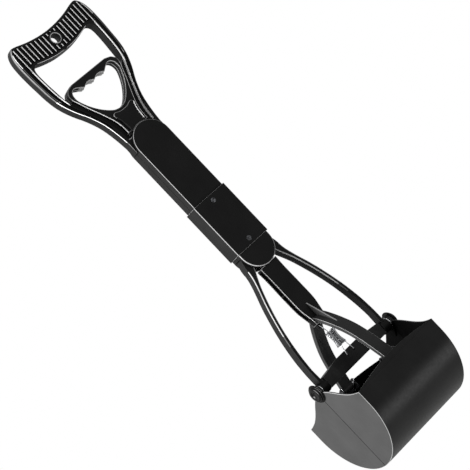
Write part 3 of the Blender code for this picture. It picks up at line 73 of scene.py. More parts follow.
def open_mesh():
    """Into edit mode with everything selected."""
    bpy.ops.object.mode_set(mode="EDIT")
    bpy.ops.mesh.select_all(action="SELECT")


def close_mesh():
    """Turn every face outward and leave edit mode."""
    bpy.ops.mesh.select_all(action="SELECT")
    bpy.ops.mesh.normals_make_consistent(inside=False)
    bpy.ops.object.mode_set(mode="OBJECT")


# Outlines
def spot(axis, u, v, w):
    """A place from outline millimetres: w runs along the named axis."""
    order = {"x": (w, u, v), "y": (u, w, v), "z": (u, v, w)}[axis]
    return Vector(order) * MM


def flowing(points, steps):
    """An open outline through all the points, rounded between them."""
    ends = [points[0]] + list(points) + [points[-1]]
    line = []
    for a, b, c, d in zip(ends, ends[1:], ends[2:], ends[3:]):
        for step in range(steps):
            t = step / steps
            weights = (-t + 2 * t * t - t ** 3, 2 - 5 * t * t + 3 * t ** 3,
                       t + 4 * t * t - 3 * t ** 3, -t * t + t ** 3)
            line.append(tuple(sum(w * p[i] for w, p in zip(weights, (a, b, c, d))) / 2
                              for i in (0, 1)))
    return line + [tuple(points[-1])]


def bow(centre, radius, start, end, steps):
    """Points on an arc, in degrees, both ends kept."""
    angles = [math.radians(start + (end - start) * i / steps) for i in range(steps + 1)]
    return [(centre[0] + radius * math.cos(a), centre[1] + radius * math.sin(a))
            for a in angles]


def oblong(u0, v0, u1, v1):
    """A rectangle from two opposite corners."""
    return [(u0, v0), (u1, v0), (u1, v1), (u0, v1)]


def mirrored(half):
    """A closed outline from its right half."""
    return list(half) + [(-u, v) for u, v in reversed(half) if u > 0.001]


def turned(side, outline):
    """The outline as it is for side 1, or its mirror image for side -1."""
    return [(side * u, v) for u, v in outline]


def span(side, near, far):
    """Two depths on one side of the middle, the lower first."""
    return sorted((side * near, side * far))


def shifted(outline, distance):
    """A closed outline moved outward along its own normals, for beads and clearances."""
    count = len(outline)
    area = sum(outline[i - 1][0] * outline[i][1] - outline[i][0] * outline[i - 1][1]
               for i in range(count))
    side = 1 if area > 0 else -1
    moved = []
    for i, (u, v) in enumerate(outline):
        before, after = outline[i - 1], outline[(i + 1) % count]
        along = Vector((after[0] - before[0], after[1] - before[1]))
        if along.length > 0:
            along.normalize()
        moved.append((u + side * along.y * distance, v - side * along.x * distance))
    return moved


def ribbon(line, thickness):
    """A band of even thickness along a line."""
    left, right = [], []
    for i, (u, v) in enumerate(line):
        before, after = Vector(line[max(i - 1, 0)]), Vector(line[min(i + 1, len(line) - 1)])
        along = (after - before).normalized() * thickness / 2
        left.append((u - along.y, v + along.x))
        right.append((u + along.y, v - along.x))
    return left + list(reversed(right))


# Forms
def ring_of(name, count, fill="NGON"):
    """A circle of so many points, to be pulled onto an outline."""
    clear_bench()
    bpy.ops.mesh.primitive_circle_add(vertices=count, radius=MM, fill_type=fill,
                                      location=(0, 0, 0))
    piece = bpy.context.object
    piece.name = name
    return piece


def sheet(name, outline, axis, low, high):
    """A filled outline drawn out to its thickness."""
    piece = ring_of(name, len(outline))
    for vertex, (u, v) in zip(piece.data.vertices, outline):
        vertex.co = spot(axis, u, v, low)
    open_mesh()
    draw = spot(axis, 0, 0, high - low)
    bpy.ops.mesh.extrude_region_move(TRANSFORM_OT_translate={"value": draw})
    close_mesh()
    return piece


def drawn_out(name, rings, axis):
    """A filled outline of (u, v, w) extruded on to the next ones in turn."""
    piece = ring_of(name, len(rings[0]))
    rings = [[spot(axis, *place) for place in ring] for ring in rings]
    for vertex, place in zip(piece.data.vertices, rings[0]):
        vertex.co = place
    open_mesh()
    for before, ring in zip(rings, rings[1:]):
        bpy.ops.mesh.extrude_region_move(TRANSFORM_OT_translate={"value": (0, 0, 0)})
        bpy.ops.object.mode_set(mode="OBJECT")
        for vertex in piece.data.vertices:
            if vertex.select:
                nearest = min(range(len(before)), key=lambda i: (before[i] - vertex.co).length)
                vertex.co = ring[nearest]
        bpy.ops.object.mode_set(mode="EDIT")
    close_mesh()
    return piece


def dowel(name, centre, axis, low, high, radius, facets):
    """A round bar between two places along one axis."""
    return sheet(name, bow(centre, radius, 0, 360 - 360 / facets, facets - 1), axis, low, high)


def lathe(name, section, centre, axis, side=1, facets=48):
    """Spin a closed (radius, along) section about an axis through centre, in millimetres."""
    piece = ring_of(name, len(section), "NOTHING")
    along = {"x": Vector((1, 0, 0)), "y": Vector((0, 1, 0))}[axis]
    out = {"x": Vector((0, 1, 0)), "y": Vector((0, 0, 1))}[axis]
    middle = Vector(centre) * MM
    for vertex, (radius, height) in zip(piece.data.vertices, section):
        vertex.co = middle + (out * radius + along * side * height) * MM
    open_mesh()
    bpy.ops.mesh.spin(steps=facets, angle=TURN, center=middle, axis=along)
    bpy.ops.mesh.select_all(action="SELECT")
    bpy.ops.mesh.remove_doubles(threshold=WELD)
    bpy.ops.mesh.dissolve_degenerate(threshold=WELD / 2)
    close_mesh()
    return piece


def wire_along(name, points, radius, resolution, ends=1.0):
    """A capped round wire through the points, thinner at its ends where ends is below 1."""
    curve = bpy.data.curves.new(name, "CURVE")
    curve.dimensions = "3D"
    curve.bevel_depth = radius * MM
    curve.bevel_resolution = resolution
    curve.use_fill_caps = True
    strand = curve.splines.new("POLY")
    strand.points.add(len(points) - 1)
    for i, (target, point) in enumerate(zip(strand.points, points)):
        target.co = (*(Vector(point) * MM), 1)
        target.radius = min(1.0, ends + 0.3 * min(i, len(points) - 1 - i))
    wire = bpy.data.objects.new(name, curve)
    bpy.context.scene.collection.objects.link(wire)
    take_up(wire)
    bpy.ops.object.convert(target="MESH")
    return bpy.context.object


def joined(pieces, name):
    """Join loose pieces into one under a new name."""
    take_up(pieces[0])
    for piece in pieces:
        piece.select_set(True)
    bpy.ops.object.join()
    whole = bpy.context.object
    whole.name = name
    return whole


# Finishing tools
def finish_with(piece, kind, **settings):
    """Add a modifier, set it and apply it."""
    take_up(piece)
    modifier = piece.modifiers.new(kind.title(), kind)
    for name, value in settings.items():
        setattr(modifier, name, value)
    bpy.ops.object.modifier_apply(modifier=modifier.name)


def combine(piece, operation, tools):
    """Run one exact boolean after another and throw each tool away."""
    for tool in tools:
        finish_with(piece, "BOOLEAN", operation=operation, object=tool, solver="EXACT")
        bpy.data.objects.remove(tool, do_unlink=True)


def carve(piece, *tools):
    """Cut each tool out of the piece."""
    combine(piece, "DIFFERENCE", tools)


def weld(piece, *others):
    """Fuse other forms onto the piece as one moulding."""
    combine(piece, "UNION", others)


def trim(piece, body):
    """Keep only what lies inside the body."""
    combine(piece, "INTERSECT", [body])


def ease_edges(piece, width, segments, angle):
    """Round the sharp edges; their narrow faces take the piece's second material."""
    finish_with(piece, "BEVEL", width=width * MM, segments=segments, limit_method="ANGLE",
                angle_limit=math.radians(angle), material=1, miter_outer="MITER_ARC",
                use_clamp_overlap=True)


def round_chosen(piece, width, segments, share_of):
    """Round each sharp edge by its own share of the width, chosen by where it lies."""
    mesh = piece.data
    sides = {}
    for face in mesh.polygons:
        for key in face.edge_keys:
            sides.setdefault(key, []).append(face.normal)
    share = mesh.attributes.new("bevel_weight_edge", "FLOAT", "EDGE")
    for edge in mesh.edges:
        normals = sides.get(edge.key, [])
        if len(normals) == 2 and normals[0].angle(normals[1], 0) > math.radians(38):
            a, b = (mesh.vertices[i].co / MM for i in edge.vertices)
            share.data[edge.index].value = share_of((a + b) / 2, b - a)
    finish_with(piece, "BEVEL", width=width * MM, segments=segments, limit_method="WEIGHT",
                material=1, use_clamp_overlap=False, miter_outer="MITER_ARC")


def polish(piece, angle=40):
    """Smooth shading that keeps flat faces flat and corners crisp."""
    take_up(piece)
    bpy.ops.object.shade_smooth_by_angle(angle=math.radians(angle))
    finish_with(piece, "WEIGHTED_NORMAL", mode="FACE_AREA", weight=50, keep_sharp=True)


# Materials
def linear(hex_colour):
    """A hex sRGB colour as linear red, green, blue and alpha."""
    parts = [int(hex_colour[i:i + 2], 16) / 255 for i in (1, 3, 5)]
    return tuple(c / 12.92 if c <= 0.04045 else ((c + 0.055) / 1.055) ** 2.4
                 for c in parts) + (1.0,)


def add_node(tree, kind, values=(), links=(), stops=(), **settings):
    """Add a node, set its properties, sockets and colour stops, and link its inputs."""
    node = tree.nodes.new(kind)
    for name, value in settings.items():
        setattr(node, name, value)
    for socket, value in values:
        node.inputs[socket].default_value = value
    for socket, source in links:
        tree.links.new(source, node.inputs[socket])
    for index, (position, colour) in enumerate(stops):
        node.color_ramp.elements[index].position = position
        node.color_ramp.elements[index].color = linear(colour)
    return node


def blank_material(name):
    """A new material with its tree, its shader and its object coordinates."""
    material = bpy.data.materials.new(name)
    material.use_nodes = True
    tree = material.node_tree
    shader = tree.nodes["Principled BSDF"]
    place = add_node(tree, "ShaderNodeTexCoord").outputs["Object"]
    return material, tree, shader, place


def surface(tree, shader, colour, sheen, relief):
    """Link a surface's colour ramp, its spread of roughness and its bump to the shader."""
    for socket, source in (("Base Color", colour.outputs["Color"]),
                           ("Roughness", sheen.outputs["Result"]),
                           ("Normal", relief.outputs["Normal"])):
        tree.links.new(source, shader.inputs[socket])


def moulded_plastic(name, dark, pale, roughness, gloss, grain_mm, grain_depth_mm):
    """Injection-moulded plastic: fine spark-eroded grain, faint flow clouds, hairline rubs."""
    material, tree, shader, place = blank_material(name)
    cloud = add_node(tree, "ShaderNodeTexNoise", [("Scale", 1 / (38 * MM)), ("Detail", 3.0),
                     ("Roughness", 0.55)], [("Vector", place)])
    colour = add_node(tree, "ShaderNodeValToRGB", links=[("Fac", cloud.outputs["Fac"])],
                      stops=[(0.36, dark), (0.66, pale)])
    grain = add_node(tree, "ShaderNodeTexNoise", [("Scale", 1 / (grain_mm * MM)),
                     ("Detail", 2.0), ("Roughness", 0.6)], [("Vector", place)])
    stretch = add_node(tree, "ShaderNodeMapping", [("Rotation", (0.2, 0.5, 0.1)),
                       ("Scale", (1.0, 1.0, 0.05))], [("Vector", place)])
    rub = add_node(tree, "ShaderNodeTexNoise", [("Scale", 1 / (1.4 * MM)), ("Detail", 2.0)],
                   [("Vector", stretch.outputs["Vector"])])
    sheen = add_node(tree, "ShaderNodeMapRange", [("From Min", 0.35), ("From Max", 0.75),
                     ("To Min", roughness - 0.05), ("To Max", roughness + 0.09)],
                     [("Value", rub.outputs["Fac"])])
    relief = add_node(tree, "ShaderNodeBump", [("Strength", 0.5),
                      ("Distance", grain_depth_mm * MM)], [("Height", grain.outputs["Fac"])])
    surface(tree, shader, colour, sheen, relief)
    shader.inputs["Specular IOR Level"].default_value = gloss
    return material


def plated_steel(name, dark, pale, roughness, lay_mm, blot):
    """Steel with a fine drawn lay: darker in the hollows, streaky in its gloss."""
    material, tree, shader, place = blank_material(name)
    cloud = add_node(tree, "ShaderNodeTexNoise", [("Scale", 1 / (3.2 * MM)), ("Detail", 4.0)],
                     [("Vector", place)])
    colour = add_node(tree, "ShaderNodeValToRGB", links=[("Fac", cloud.outputs["Fac"])],
                      stops=[(0.35, dark), (0.62, pale)])
    lay = add_node(tree, "ShaderNodeTexNoise", [("Scale", 1 / (lay_mm * MM)), ("Detail", 2.0)],
                   [("Vector", place)])
    sheen = add_node(tree, "ShaderNodeMapRange", [("From Min", 0.3), ("From Max", 0.7),
                     ("To Min", roughness - 0.06), ("To Max", roughness + 0.1 + blot)],
                     [("Value", lay.outputs["Fac"])])
    relief = add_node(tree, "ShaderNodeBump", [("Strength", 0.25), ("Distance", 0.01 * MM)],
                      [("Height", lay.outputs["Fac"])])
    surface(tree, shader, colour, sheen, relief)
    shader.inputs["Metallic"].default_value = 1.0
    return material


# Polypropylene, moulded satin: near-black fronts that lift to soft grey where light rakes them
BLACK_PP = moulded_plastic("black_polypropylene_satin", "#111111", "#161616", 0.42, 0.055,
                           0.9, 0.02)
# The same plastic burnished along its edges by handling, greyer and smoother, and pale enough to
# serve as a painted highlight along them
RUBBED_HIGHLIGHT_PP = moulded_plastic("black_polypropylene_rubbed_edge_painted_highlight", "#808080", "#9e9e9e", 0.30,
                            0.3, 1.2, 0.008)
# Floor of the grip's field: painted shade, a matt black darker than the faces round it
GROOVE_SHADE_PP = moulded_plastic("black_polypropylene_groove_painted_shade", "#0d0d0d", "#131313", 0.6,
                            0.04, 0.9, 0.02)
# Crests of the grip's ribs and beads and the sharpest edges: painted highlight, near white
CREST_HIGHLIGHT_PP = moulded_plastic("black_polypropylene_crest_painted_highlight", "#d4d4d4", "#ececec", 0.32, 0.3,
                           1.2, 0.008)
# Cross bar, fork arms and hanging-hole lip: the same plastic with the rougher face of an eroded
# mould, painted lighter to lift them out of the shade they stand in
ARM_LIFTED_PP = moulded_plastic("black_polypropylene_eroded_painted_lift", "#1e1e1e", "#2c2c2c", 0.46, 0.08,
                         1.1, 0.06)
# Jaw moulding: ABS with a coarser leather-fine texture, a shade greyer than the stem
JAW_ABS = moulded_plastic("charcoal_abs_textured", "#2f2f2f", "#333333", 0.46, 0.08, 1.3, 0.02)
# Rims of the jaws' end plates: rubbed paler, and paler still as a painted highlight
JAW_RIM_HIGHLIGHT = moulded_plastic("charcoal_abs_rubbed_rim_painted_highlight", "#767676", "#868686", 0.34, 0.2, 1.3, 0.01)
# Drawn round side of the jaws: the same moulding, smoother where it slid from a polished mould
# half and painted darker as shade on the side turned from the light
JAW_SHADED_SIDE = moulded_plastic("charcoal_abs_drawn_side_painted_shade", "#151515", "#191919", 0.34, 0.085,
                            1.6, 0.012)
# Inside of the jaws and their seam: painted shade, near black and matt
JAW_INSIDE_SHADE = moulded_plastic("charcoal_abs_inside_painted_shade", "#050505", "#090909", 0.8, 0.015, 1.3, 0.03)
# Glass-filled nylon knobs, tumbled glossy: hard small highlights on black
KNOB_NYLON = moulded_plastic("black_nylon_gloss", "#050505", "#0b0b0b", 0.24, 0.1, 0.8,
                             0.012)
# Zinc-plated spring wire and fasteners: bright, slightly blotched
ZINC = plated_steel("bright_zinc_plated_steel", "#a9abad", "#d4d5d6", 0.27, 0.5, 0.05)
# Worn black finish of the collar's rivets, steel showing through on the domes
RIVET_STEEL = plated_steel("black_oxide_worn_through", "#222224", "#4e4f51", 0.2, 0.6, 0.3)
# Spring wire: hard-drawn steel, greyer than the plated fasteners
SPRING_STEEL = plated_steel("hard_drawn_spring_wire", "#858688", "#bcbdbf", 0.3, 0.5, 0.05)
# The same plastic painted light grey as painted light: inner faces of the fork arms and flanges
# in shade, and painted highlight on the edges of the yoke's arms and the rim's sides
PAINTED_LIGHT_GREY_PP = moulded_plastic("black_polypropylene_painted_light_grey", "#444444", "#545454", 0.5, 0.06,
                             1.4, 0.03)
# Black-oxide steel strip: nearly black with a dull metal sheen
BLACK_OXIDE = plated_steel("black_oxide_steel", "#1c1c1e", "#2b2b2d", 0.36, 0.6, 0.08)


# Pieces' finish
def with_slots(piece, *materials):
    """Material slots in order: the body's first, then that of its eased edges, then others."""
    piece.data.materials.clear()
    for material in materials:
        piece.data.materials.append(material)
    return piece


def sort_faces(piece, choose):
    """Give each face the material that choose names from its middle in mm and its normal."""
    slots = list(piece.data.materials)
    for face in piece.data.polygons:
        material = choose(face.center / MM, face.normal, slots[face.material_index])
        if material:
            face.material_index = slots.index(material)


def dress(piece, body, slot, replaced, *only):
    """Give a finished piece its body and a lone material and hide the node it stands for; the
    slot is not used.
    """
    if only:
        with_slots(piece, *only)
    if body:
        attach(piece, body)
    if replaced:
        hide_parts(replaced)
    return piece


# Sides, and the places and outlines shared between pieces, in millimetres
FRONT_REAR = ((-1, "front"), (1, "rear"))
LEFT_RIGHT = ((-1, "left"), (1, "right"))
# How far a tool that cuts right through stands out
PAST = 12
NECK = 500.5
COVER_HALF = 27.8
COVER_FACE = 11.8
COVER_END = 346.0
LOWER_ARC = 313.3
LOWER_END = 319.3
PIVOT = 124.3
BORE = 3.3
HOLE = 681.0
GRIP_FACE = 7.0
GRIP_FLOOR = 5.8
THROAT_FLOOR = 4.6
PLATE_ROOT = 9.3
SLIDEWAY = 4.4
SHANK = 4.0
COLLAR = (318.0, 400.0)
COLLAR_BORE = (310, 410)
UPPER_SCREWS = [(-18.5, 485.5), (18.5, 485.5), (-18.5, 362.5), (18.5, 362.5)]
LOWER_SCREWS = [(-21.3, 307.0), (21.3, 307.0)]

HANDLE_OUTER = [(0, 696.0), (17, 697.0), (36, 700.1), (55, 705.0), (62.5, 703.6),
                (68, 694.0), (70, 680.0), (70, 662.0), (69, 645.1), (67.3, 627.1),
                (63.5, 609.9), (55.2, 591.1), (44.6, 573.1), (36.5, 554.1), (31.9, 533.0),
                (29.7, 515.0)]
HANDLE_FOOT = (29.6, 500.8)
WINDOW_EDGE = [(0, 661.6), (16, 662.3), (33.5, 665.5), (48, 669.4), (53.2, 667.6),
               (56, 663.3), (56.9, 655.1), (56.4, 641.0), (55.2, 627.1), (54.3, 617.1),
               (53.2, 609.5), (50.8, 604.6), (47.2, 602.1), (43.7, 596.4), (40.3, 588.4),
               (35.5, 578.0), (29.8, 566.8), (23.2, 551.6), (20.2, 539.2), (19.7, 527.5)]
WINDOW_FOOT = (19.7, 524.2)
THROAT_HEAD = (52.7, 606.5)
THROAT_EDGE = [(52.1, 604), (49.5, 598.5), (45.5, 590.3), (40.2, 579.4), (34.9, 567.8),
               (30.1, 556.2), (26.1, 543.6), (24.1, 531.0), (23.7, 522.0)]
THROAT_FOOT = (24.5, 521.4)
FIELD_OUTER = [(0, 692.0), (17, 693.0), (36, 696.1), (52, 700.3), (60.3, 700.4), (63.9, 697),
               (65.7, 690.5), (66.3, 682), (66.4, 662), (65.5, 645.1), (63.8, 627.1),
               (60.6, 611), (56.9, 600), (52.2, 590), (46.3, 580), (40.9, 570), (36.5, 560),
               (33.2, 550), (32.2, 545)]
FIELD_INNER = [(30.2, 545), (30.9, 550), (34.5, 560), (38.8, 570), (43.4, 580), (48.4, 590),
               (53.4, 600), (56.8, 610), (59.3, 621), (60.9, 636), (61.7, 653), (61.2, 664.5),
               (58.6, 669.6), (53.4, 672.2), (46, 672.8), (33.5, 669.4), (16, 666.2),
               (0, 665.4)]
NECK_ROOT = [(-25.5, 502.2), (25.5, 502.2), (25.5, 471.0), (24.5, 470.0), (-24.5, 470.0),
             (-25.5, 471.0)]


# Handle frame
def rounded_frame():
    """The grip's outline drawn out front to rear, its rim rolled over in five steps."""
    line = mirrored(flowing(HANDLE_OUTER, 3) + [HANDLE_FOOT])
    rolls = [0.3 if z < 503 else 1.0 + 1.7 * min(1.0, max(0.0, (z - 600) / 40))
             for x, z in line]
    rings = []
    for turn in (0, 22.5, 45, 67.5, 90):
        sink, lift = 1 - math.sin(math.radians(turn)), 1 - math.cos(math.radians(turn))
        moved = [tuple(at + (to - at) * roll * sink for at, to in zip(place, inner))
                 for place, inner, roll in zip(line, shifted(line, -1), rolls)]
        rings.append([(x, z, -GRIP_FACE + roll * lift) for (x, z), roll in zip(moved, rolls)])
    rings += [[(x, z, -y) for x, z, y in ring] for ring in reversed(rings)]
    return drawn_out("grip_frame_moulding", rings, "y")


def rim_finish(middle, normal, now):
    """The rolled rim's wear and painted highlights: rubbed grey near the faces, painted light
    grey at its sides, near-white painted highlight low down.
    """
    flat = abs(normal.y)
    if 0.3 < flat < 0.9 and (abs(middle.x) > 60 or middle.z < 690):
        if middle.z < 615 and abs(middle.x) > 30:
            return CREST_HIGHLIGHT_PP
        return RUBBED_HIGHLIGHT_PP if flat > 0.7 else PAINTED_LIGHT_GREY_PP


def grip_finish(middle, normal, now):
    """A plain top, painted highlight on the slopes round the throat and painted shade on the sunk
    floors.
    """
    depth, flat = abs(middle.y), abs(normal.y)
    if abs(middle.x) < 58 and middle.z > 688:
        return BLACK_PP
    inward = normal.x * middle.x < 0
    if inward and 0.4 < flat < 0.7 and 4.7 < depth < 6.99 and middle.z < 607:
        return CREST_HIGHLIGHT_PP
    if flat > 0.9 and 4.5 < depth < 6.6 and middle.z > 503:
        return GROOVE_SHADE_PP


def handle_frame():
    """D-grip with a sunk field, a sloped throat round its window, a neck and a slideway."""
    moulding = with_slots(rounded_frame(), BLACK_PP, RUBBED_HIGHLIGHT_PP, GROOVE_SHADE_PP, PAINTED_LIGHT_GREY_PP, CREST_HIGHLIGHT_PP)
    sort_faces(moulding, rim_finish)
    window = mirrored(flowing(WINDOW_EDGE, 3) + [WINDOW_FOOT])
    carve(moulding, sheet("window_tool", window, "y", -PAST, PAST))
    throat = mirrored([THROAT_HEAD] + flowing(THROAT_EDGE, 3) + [THROAT_FOOT])
    wide = shifted(throat, 1.4)
    field = mirrored(flowing(FIELD_OUTER, 3) + flowing(FIELD_INNER, 3))
    for side in (-1, 1):
        slope = [[(x, z, side * depth) for x, z in line]
                 for line, depth in ((throat, THROAT_FLOOR), (wide, GRIP_FACE + 0.02), (wide, 9))]
        carve(moulding, drawn_out("throat_tool", slope, "y"))
        carve(moulding, sheet("field_tool", field, "y", *span(side, GRIP_FLOOR + 0.1, 9)))
    weld(moulding, sheet("neck_root", NECK_ROOT, "y", -PLATE_ROOT, PLATE_ROOT))
    carve(moulding, sheet("slideway_tool", oblong(-12.9, 528, 12.9, 466), "y", -SLIDEWAY,
                          SLIDEWAY))
    for side in (-1, 1):
        weld(moulding, dowel("hole_land", (0, HOLE), "y", *span(side, GRIP_FLOOR, 6.95), 9.8, 40))
    carve(moulding, dowel("hang_bore", (0, HOLE), "y", -PAST, PAST, 7.9, 40))
    ease_edges(moulding, 0.45, 2, 62)
    polish(moulding)
    sort_faces(moulding, grip_finish)
    return dress(moulding, "handle", "black_plastic", "handle_frame")


RIB_PITCH = 6.65
RIB_LAST = 9
RIB_WIDE, RIB_TALL = 1.9, 2.1
HOLE_ROOM = 10


def height_at(line, x):
    """How high an outline stands at x."""
    for (x0, z0), (x1, z1) in zip(line, line[1:]):
        if x0 <= x <= x1:
            return z0 + (z1 - z0) * (x - x0) / (x1 - x0)
    return line[-1][1]


def grip_rib(side, x, start, end):
    """One rib, a bar that narrows to its crest."""
    clear_bench()
    place = Vector((x, side * (GRIP_FLOOR + RIB_TALL / 2), (start + end) / 2))
    bpy.ops.mesh.primitive_cube_add(size=MM, location=place * MM,
                                    scale=(RIB_WIDE, RIB_TALL, end - start))
    rib = bpy.context.object
    bpy.ops.object.transform_apply(location=True, rotation=True, scale=True)
    bpy.ops.object.mode_set(mode="EDIT")
    bpy.ops.mesh.select_mode(type="FACE")
    bpy.ops.mesh.select_all(action="DESELECT")
    bpy.ops.object.mode_set(mode="OBJECT")
    for face in rib.data.polygons:
        face.select = face.normal.y * side > 0.9
    bpy.ops.object.mode_set(mode="EDIT")
    bpy.ops.transform.resize(value=(0.62, 1, 1 - 0.9 / (end - start)))
    bpy.ops.mesh.bevel(offset=0.15 * MM, segments=1, affect="EDGES")
    bpy.ops.object.mode_set(mode="OBJECT")
    return rib


def grip_ribs():
    """Ribs at an even pitch on both faces, each cut to the grip's height and to the hole."""
    top, foot = flowing(HANDLE_OUTER[:6], 6), flowing(WINDOW_EDGE[:5], 6)
    ribs = []
    for side in (-1, 1):
        for index in range(-RIB_LAST, RIB_LAST + 1):
            x = RIB_PITCH * index
            high = height_at(top, abs(x)) - 3.4
            low = 664 if abs(index) == RIB_LAST else height_at(foot, min(abs(x), 50)) + 4.3
            spans = [(low, high)]
            if abs(x) < HOLE_ROOM:
                reach = math.sqrt(HOLE_ROOM ** 2 - x * x)
                spans = [(low, HOLE - reach), (HOLE + reach, high)]
            ribs += [grip_rib(side, x, start, end) for start, end in spans]
    # The ribs' crests take a near-white painted highlight.
    piece = with_slots(joined(ribs, "grip_rib_crests"), BLACK_PP, CREST_HIGHLIGHT_PP)
    sort_faces(piece, lambda middle, *_: CREST_HIGHLIGHT_PP if abs(middle.y) > 7.6 else BLACK_PP)
    polish(piece, 50)
    return dress(piece, "handle", "black_plastic", None)


# Each bead's outline, radius and depth
BEAD_RUNS = (
    ([(59.85, 668), (59.7, 660), (59.4, 650), (58.9, 640), (58.2, 630), (57.2, 621),
      (55.2, 611), (53.0, 602.4)], 0.95, 6.95),
    ([(64.2, 697.5), (65.9, 690), (66.5, 680), (66.6, 662.0), (65.9, 645.1), (64.2, 627.1),
      (60.6, 611.5)], 0.6, 6.75),
    ([(0.4, 662.3), (16, 663.0), (33.5, 666.2), (47.5, 670.0)], 0.4, 6.75))


def bead_lines():
    """Round beads beside the window, inside the rim and under the ribs, on both faces."""
    beads = [wire_along("bead_run", [(end * x, side * depth, z) for x, z in flowing(points, 4)],
                        radius, 3, 0.45)
             for points, radius, depth in BEAD_RUNS for side in (-1, 1) for end in (-1, 1)]
    piece = joined(beads, "arm_bead_lines")
    polish(piece, 60)
    # The beads are painted near white as highlight lines; those low on the arms' outer side take
    # the painted light grey.
    with_slots(piece, CREST_HIGHLIGHT_PP, PAINTED_LIGHT_GREY_PP)
    sort_faces(piece, lambda middle, *_: PAINTED_LIGHT_GREY_PP if abs(middle.x) > 61.5 and middle.z < 674
               else CREST_HIGHLIGHT_PP)
    return dress(piece, "handle", "black_plastic", None)


def hang_eyelet():
    """Thin lip round the hanging hole, rolled over, painted lighter to lift it from shade, rubbed
    on both faces with a painted highlight.
    """
    half = [(6.1, 0.9), (6.2, 3.4), (6.5, 6.2), (6.75, 7.3), (7.15, 7.85), (7.6, 7.85),
            (8.0, 7.4), (8.0, 6.9), (7.35, 6.6)]
    section = half + [(r, -h) for r, h in reversed(half)]
    lip = lathe("hanging_hole_lip", section, (0, 0, HOLE), "y")
    polish(lip, 50)
    with_slots(lip, ARM_LIFTED_PP, RUBBED_HIGHLIGHT_PP)
    sort_faces(lip, lambda middle, *_: RUBBED_HIGHLIGHT_PP if abs(middle.y) > 7.4 else ARM_LIFTED_PP)
    return dress(lip, "handle", "black_plastic", "hang_eyelet")


HORN_RIM = [(14.8, 545.6), (17.5, 551.6), (18.4, 554.8), (17.6, 557.2), (15.2, 558.6),
            (12.2, 558.0), (9.0, 556.7), (5.2, 555.8), (0, 555.6)]
HORN_FLANK = [(17.9, 554.6), (16.8, 551.6), (14.4, 545.2), (13.1, 536.0), (12.6, 529.6)]


def horn_finish(middle, normal, now):
    """Painted highlight on the flank ribs' inner slopes; the plate's edges beside them plain."""
    outward = normal.x * math.copysign(1, middle.x)
    if abs(middle.y) > 9.7:
        return CREST_HIGHLIGHT_PP if outward < -0.3 else BLACK_PP
    if outward > 0.3 and middle.z < 552:
        return BLACK_PP


def neck_plate(word, side):
    """Horned plate below the trigger's throat, with a fine rib up each flank."""
    foot = bow((0, NECK), COVER_HALF + 0.3, 90, 62.5, 8)
    plate = sheet(f"neck_horn_plate_{word}", mirrored(foot + flowing(HORN_RIM, 4)), "y",
                  *span(side, 7.3, 9.6))
    with_slots(plate, BLACK_PP, RUBBED_HIGHLIGHT_PP, CREST_HIGHLIGHT_PP)
    ease_edges(plate, 0.7, 2, 40)
    flank = flowing(HORN_FLANK, 3)
    root, crest = ribbon(flank, 1.2), ribbon([(x + 0.25, z) for x, z in flank], 0.3)
    for end in (-1, 1):
        rings = [[(end * x, z, side * depth) for x, z in line]
                 for line, depth in ((root, PLATE_ROOT), (crest, 11.0))]
        weld(plate, drawn_out("flank_rib", rings, "y"))
    polish(plate)
    sort_faces(plate, horn_finish)
    return dress(plate, "handle", "black_plastic", f"neck_plate_{word}")


# Trigger
TRIGGER_OUTER = [(31.6, 621.5), (40.1, 618.9), (43.5, 616.2), (45.9, 612.8), (46.4, 608.7),
                 (45.6, 603.6), (42.4, 597.0), (39.0, 588.8), (34.2, 578.4), (28.6, 567.2),
                 (22.0, 552.0), (18.8, 539.4), (18.4, 527.4)]
TRIGGER_LOOP = [(24.0, 611.3), (31.0, 614.8), (36.3, 613.8), (39.5, 609.7), (40.4, 604.5),
                (39.9, 600.0), (38.1, 595.3), (33.6, 586.6), (27.2, 577.4), (19.0, 568.8),
                (9.5, 562.0), (0, 559.8)]
FINGER = 19.0
FINGER_REST = 608.0
HOLLOW = 3.5


def trigger_finish(middle, normal, now):
    """Rubbed in the finger hollows and on the parting ridge, whose rubbed grey is also a painted
    highlight; near-white painted highlight on the low outer edges.
    """
    in_hollow = abs(middle.x) < 25 and 604 < middle.z < 613 and normal.z < -0.3
    if in_hollow or (abs(middle.y) < 0.55 and middle.z > 556):
        return RUBBED_HIGHLIGHT_PP
    if now == RUBBED_HIGHLIGHT_PP and middle.z < 606 and normal.x * middle.x > 0:
        return CREST_HIGHLIGHT_PP


def trigger():
    """Finger loop with four hollows and a parting ridge round its middle, on a flat shank."""
    outer, half = mirrored(flowing(TRIGGER_OUTER, 4)), flowing(TRIGGER_LOOP, 4)
    edge = [(FINGER * (hollow + 1 - step / 10),
             FINGER_REST + HOLLOW * math.sin(math.pi * step / 10))
            for hollow in (0, -1) for step in range(10)] + [(-FINGER, FINGER_REST)]
    loop = edge + [(-x, z) for x, z in half] + list(reversed(half[:-1]))
    body = sheet("trigger_moulding", outer, "y", -GRIP_FACE, GRIP_FACE)
    with_slots(body, BLACK_PP, RUBBED_HIGHLIGHT_PP, CREST_HIGHLIGHT_PP)
    carve(body, sheet("loop_tool", loop, "y", -PAST, PAST))
    ease_edges(body, 0.8, 3, 40)
    ridge = sheet("ridge", shifted(outer, 0.3), "y", -0.5, 0.5)
    carve(ridge, sheet("ridge_tool", shifted(loop, -0.6), "y", -3, 3))
    shank = sheet("shank", oblong(-12.5, 531.4, 12.5, 415), "y", -SHANK, SHANK)
    carve(shank, sheet("strap_space", oblong(-5.9, 437.4, 5.9, 410), "y", -9, -3.1))
    weld(body, shank, ridge)
    polish(body)
    sort_faces(body, trigger_finish)
    return dress(body, "trigger", "black_plastic", "trigger")


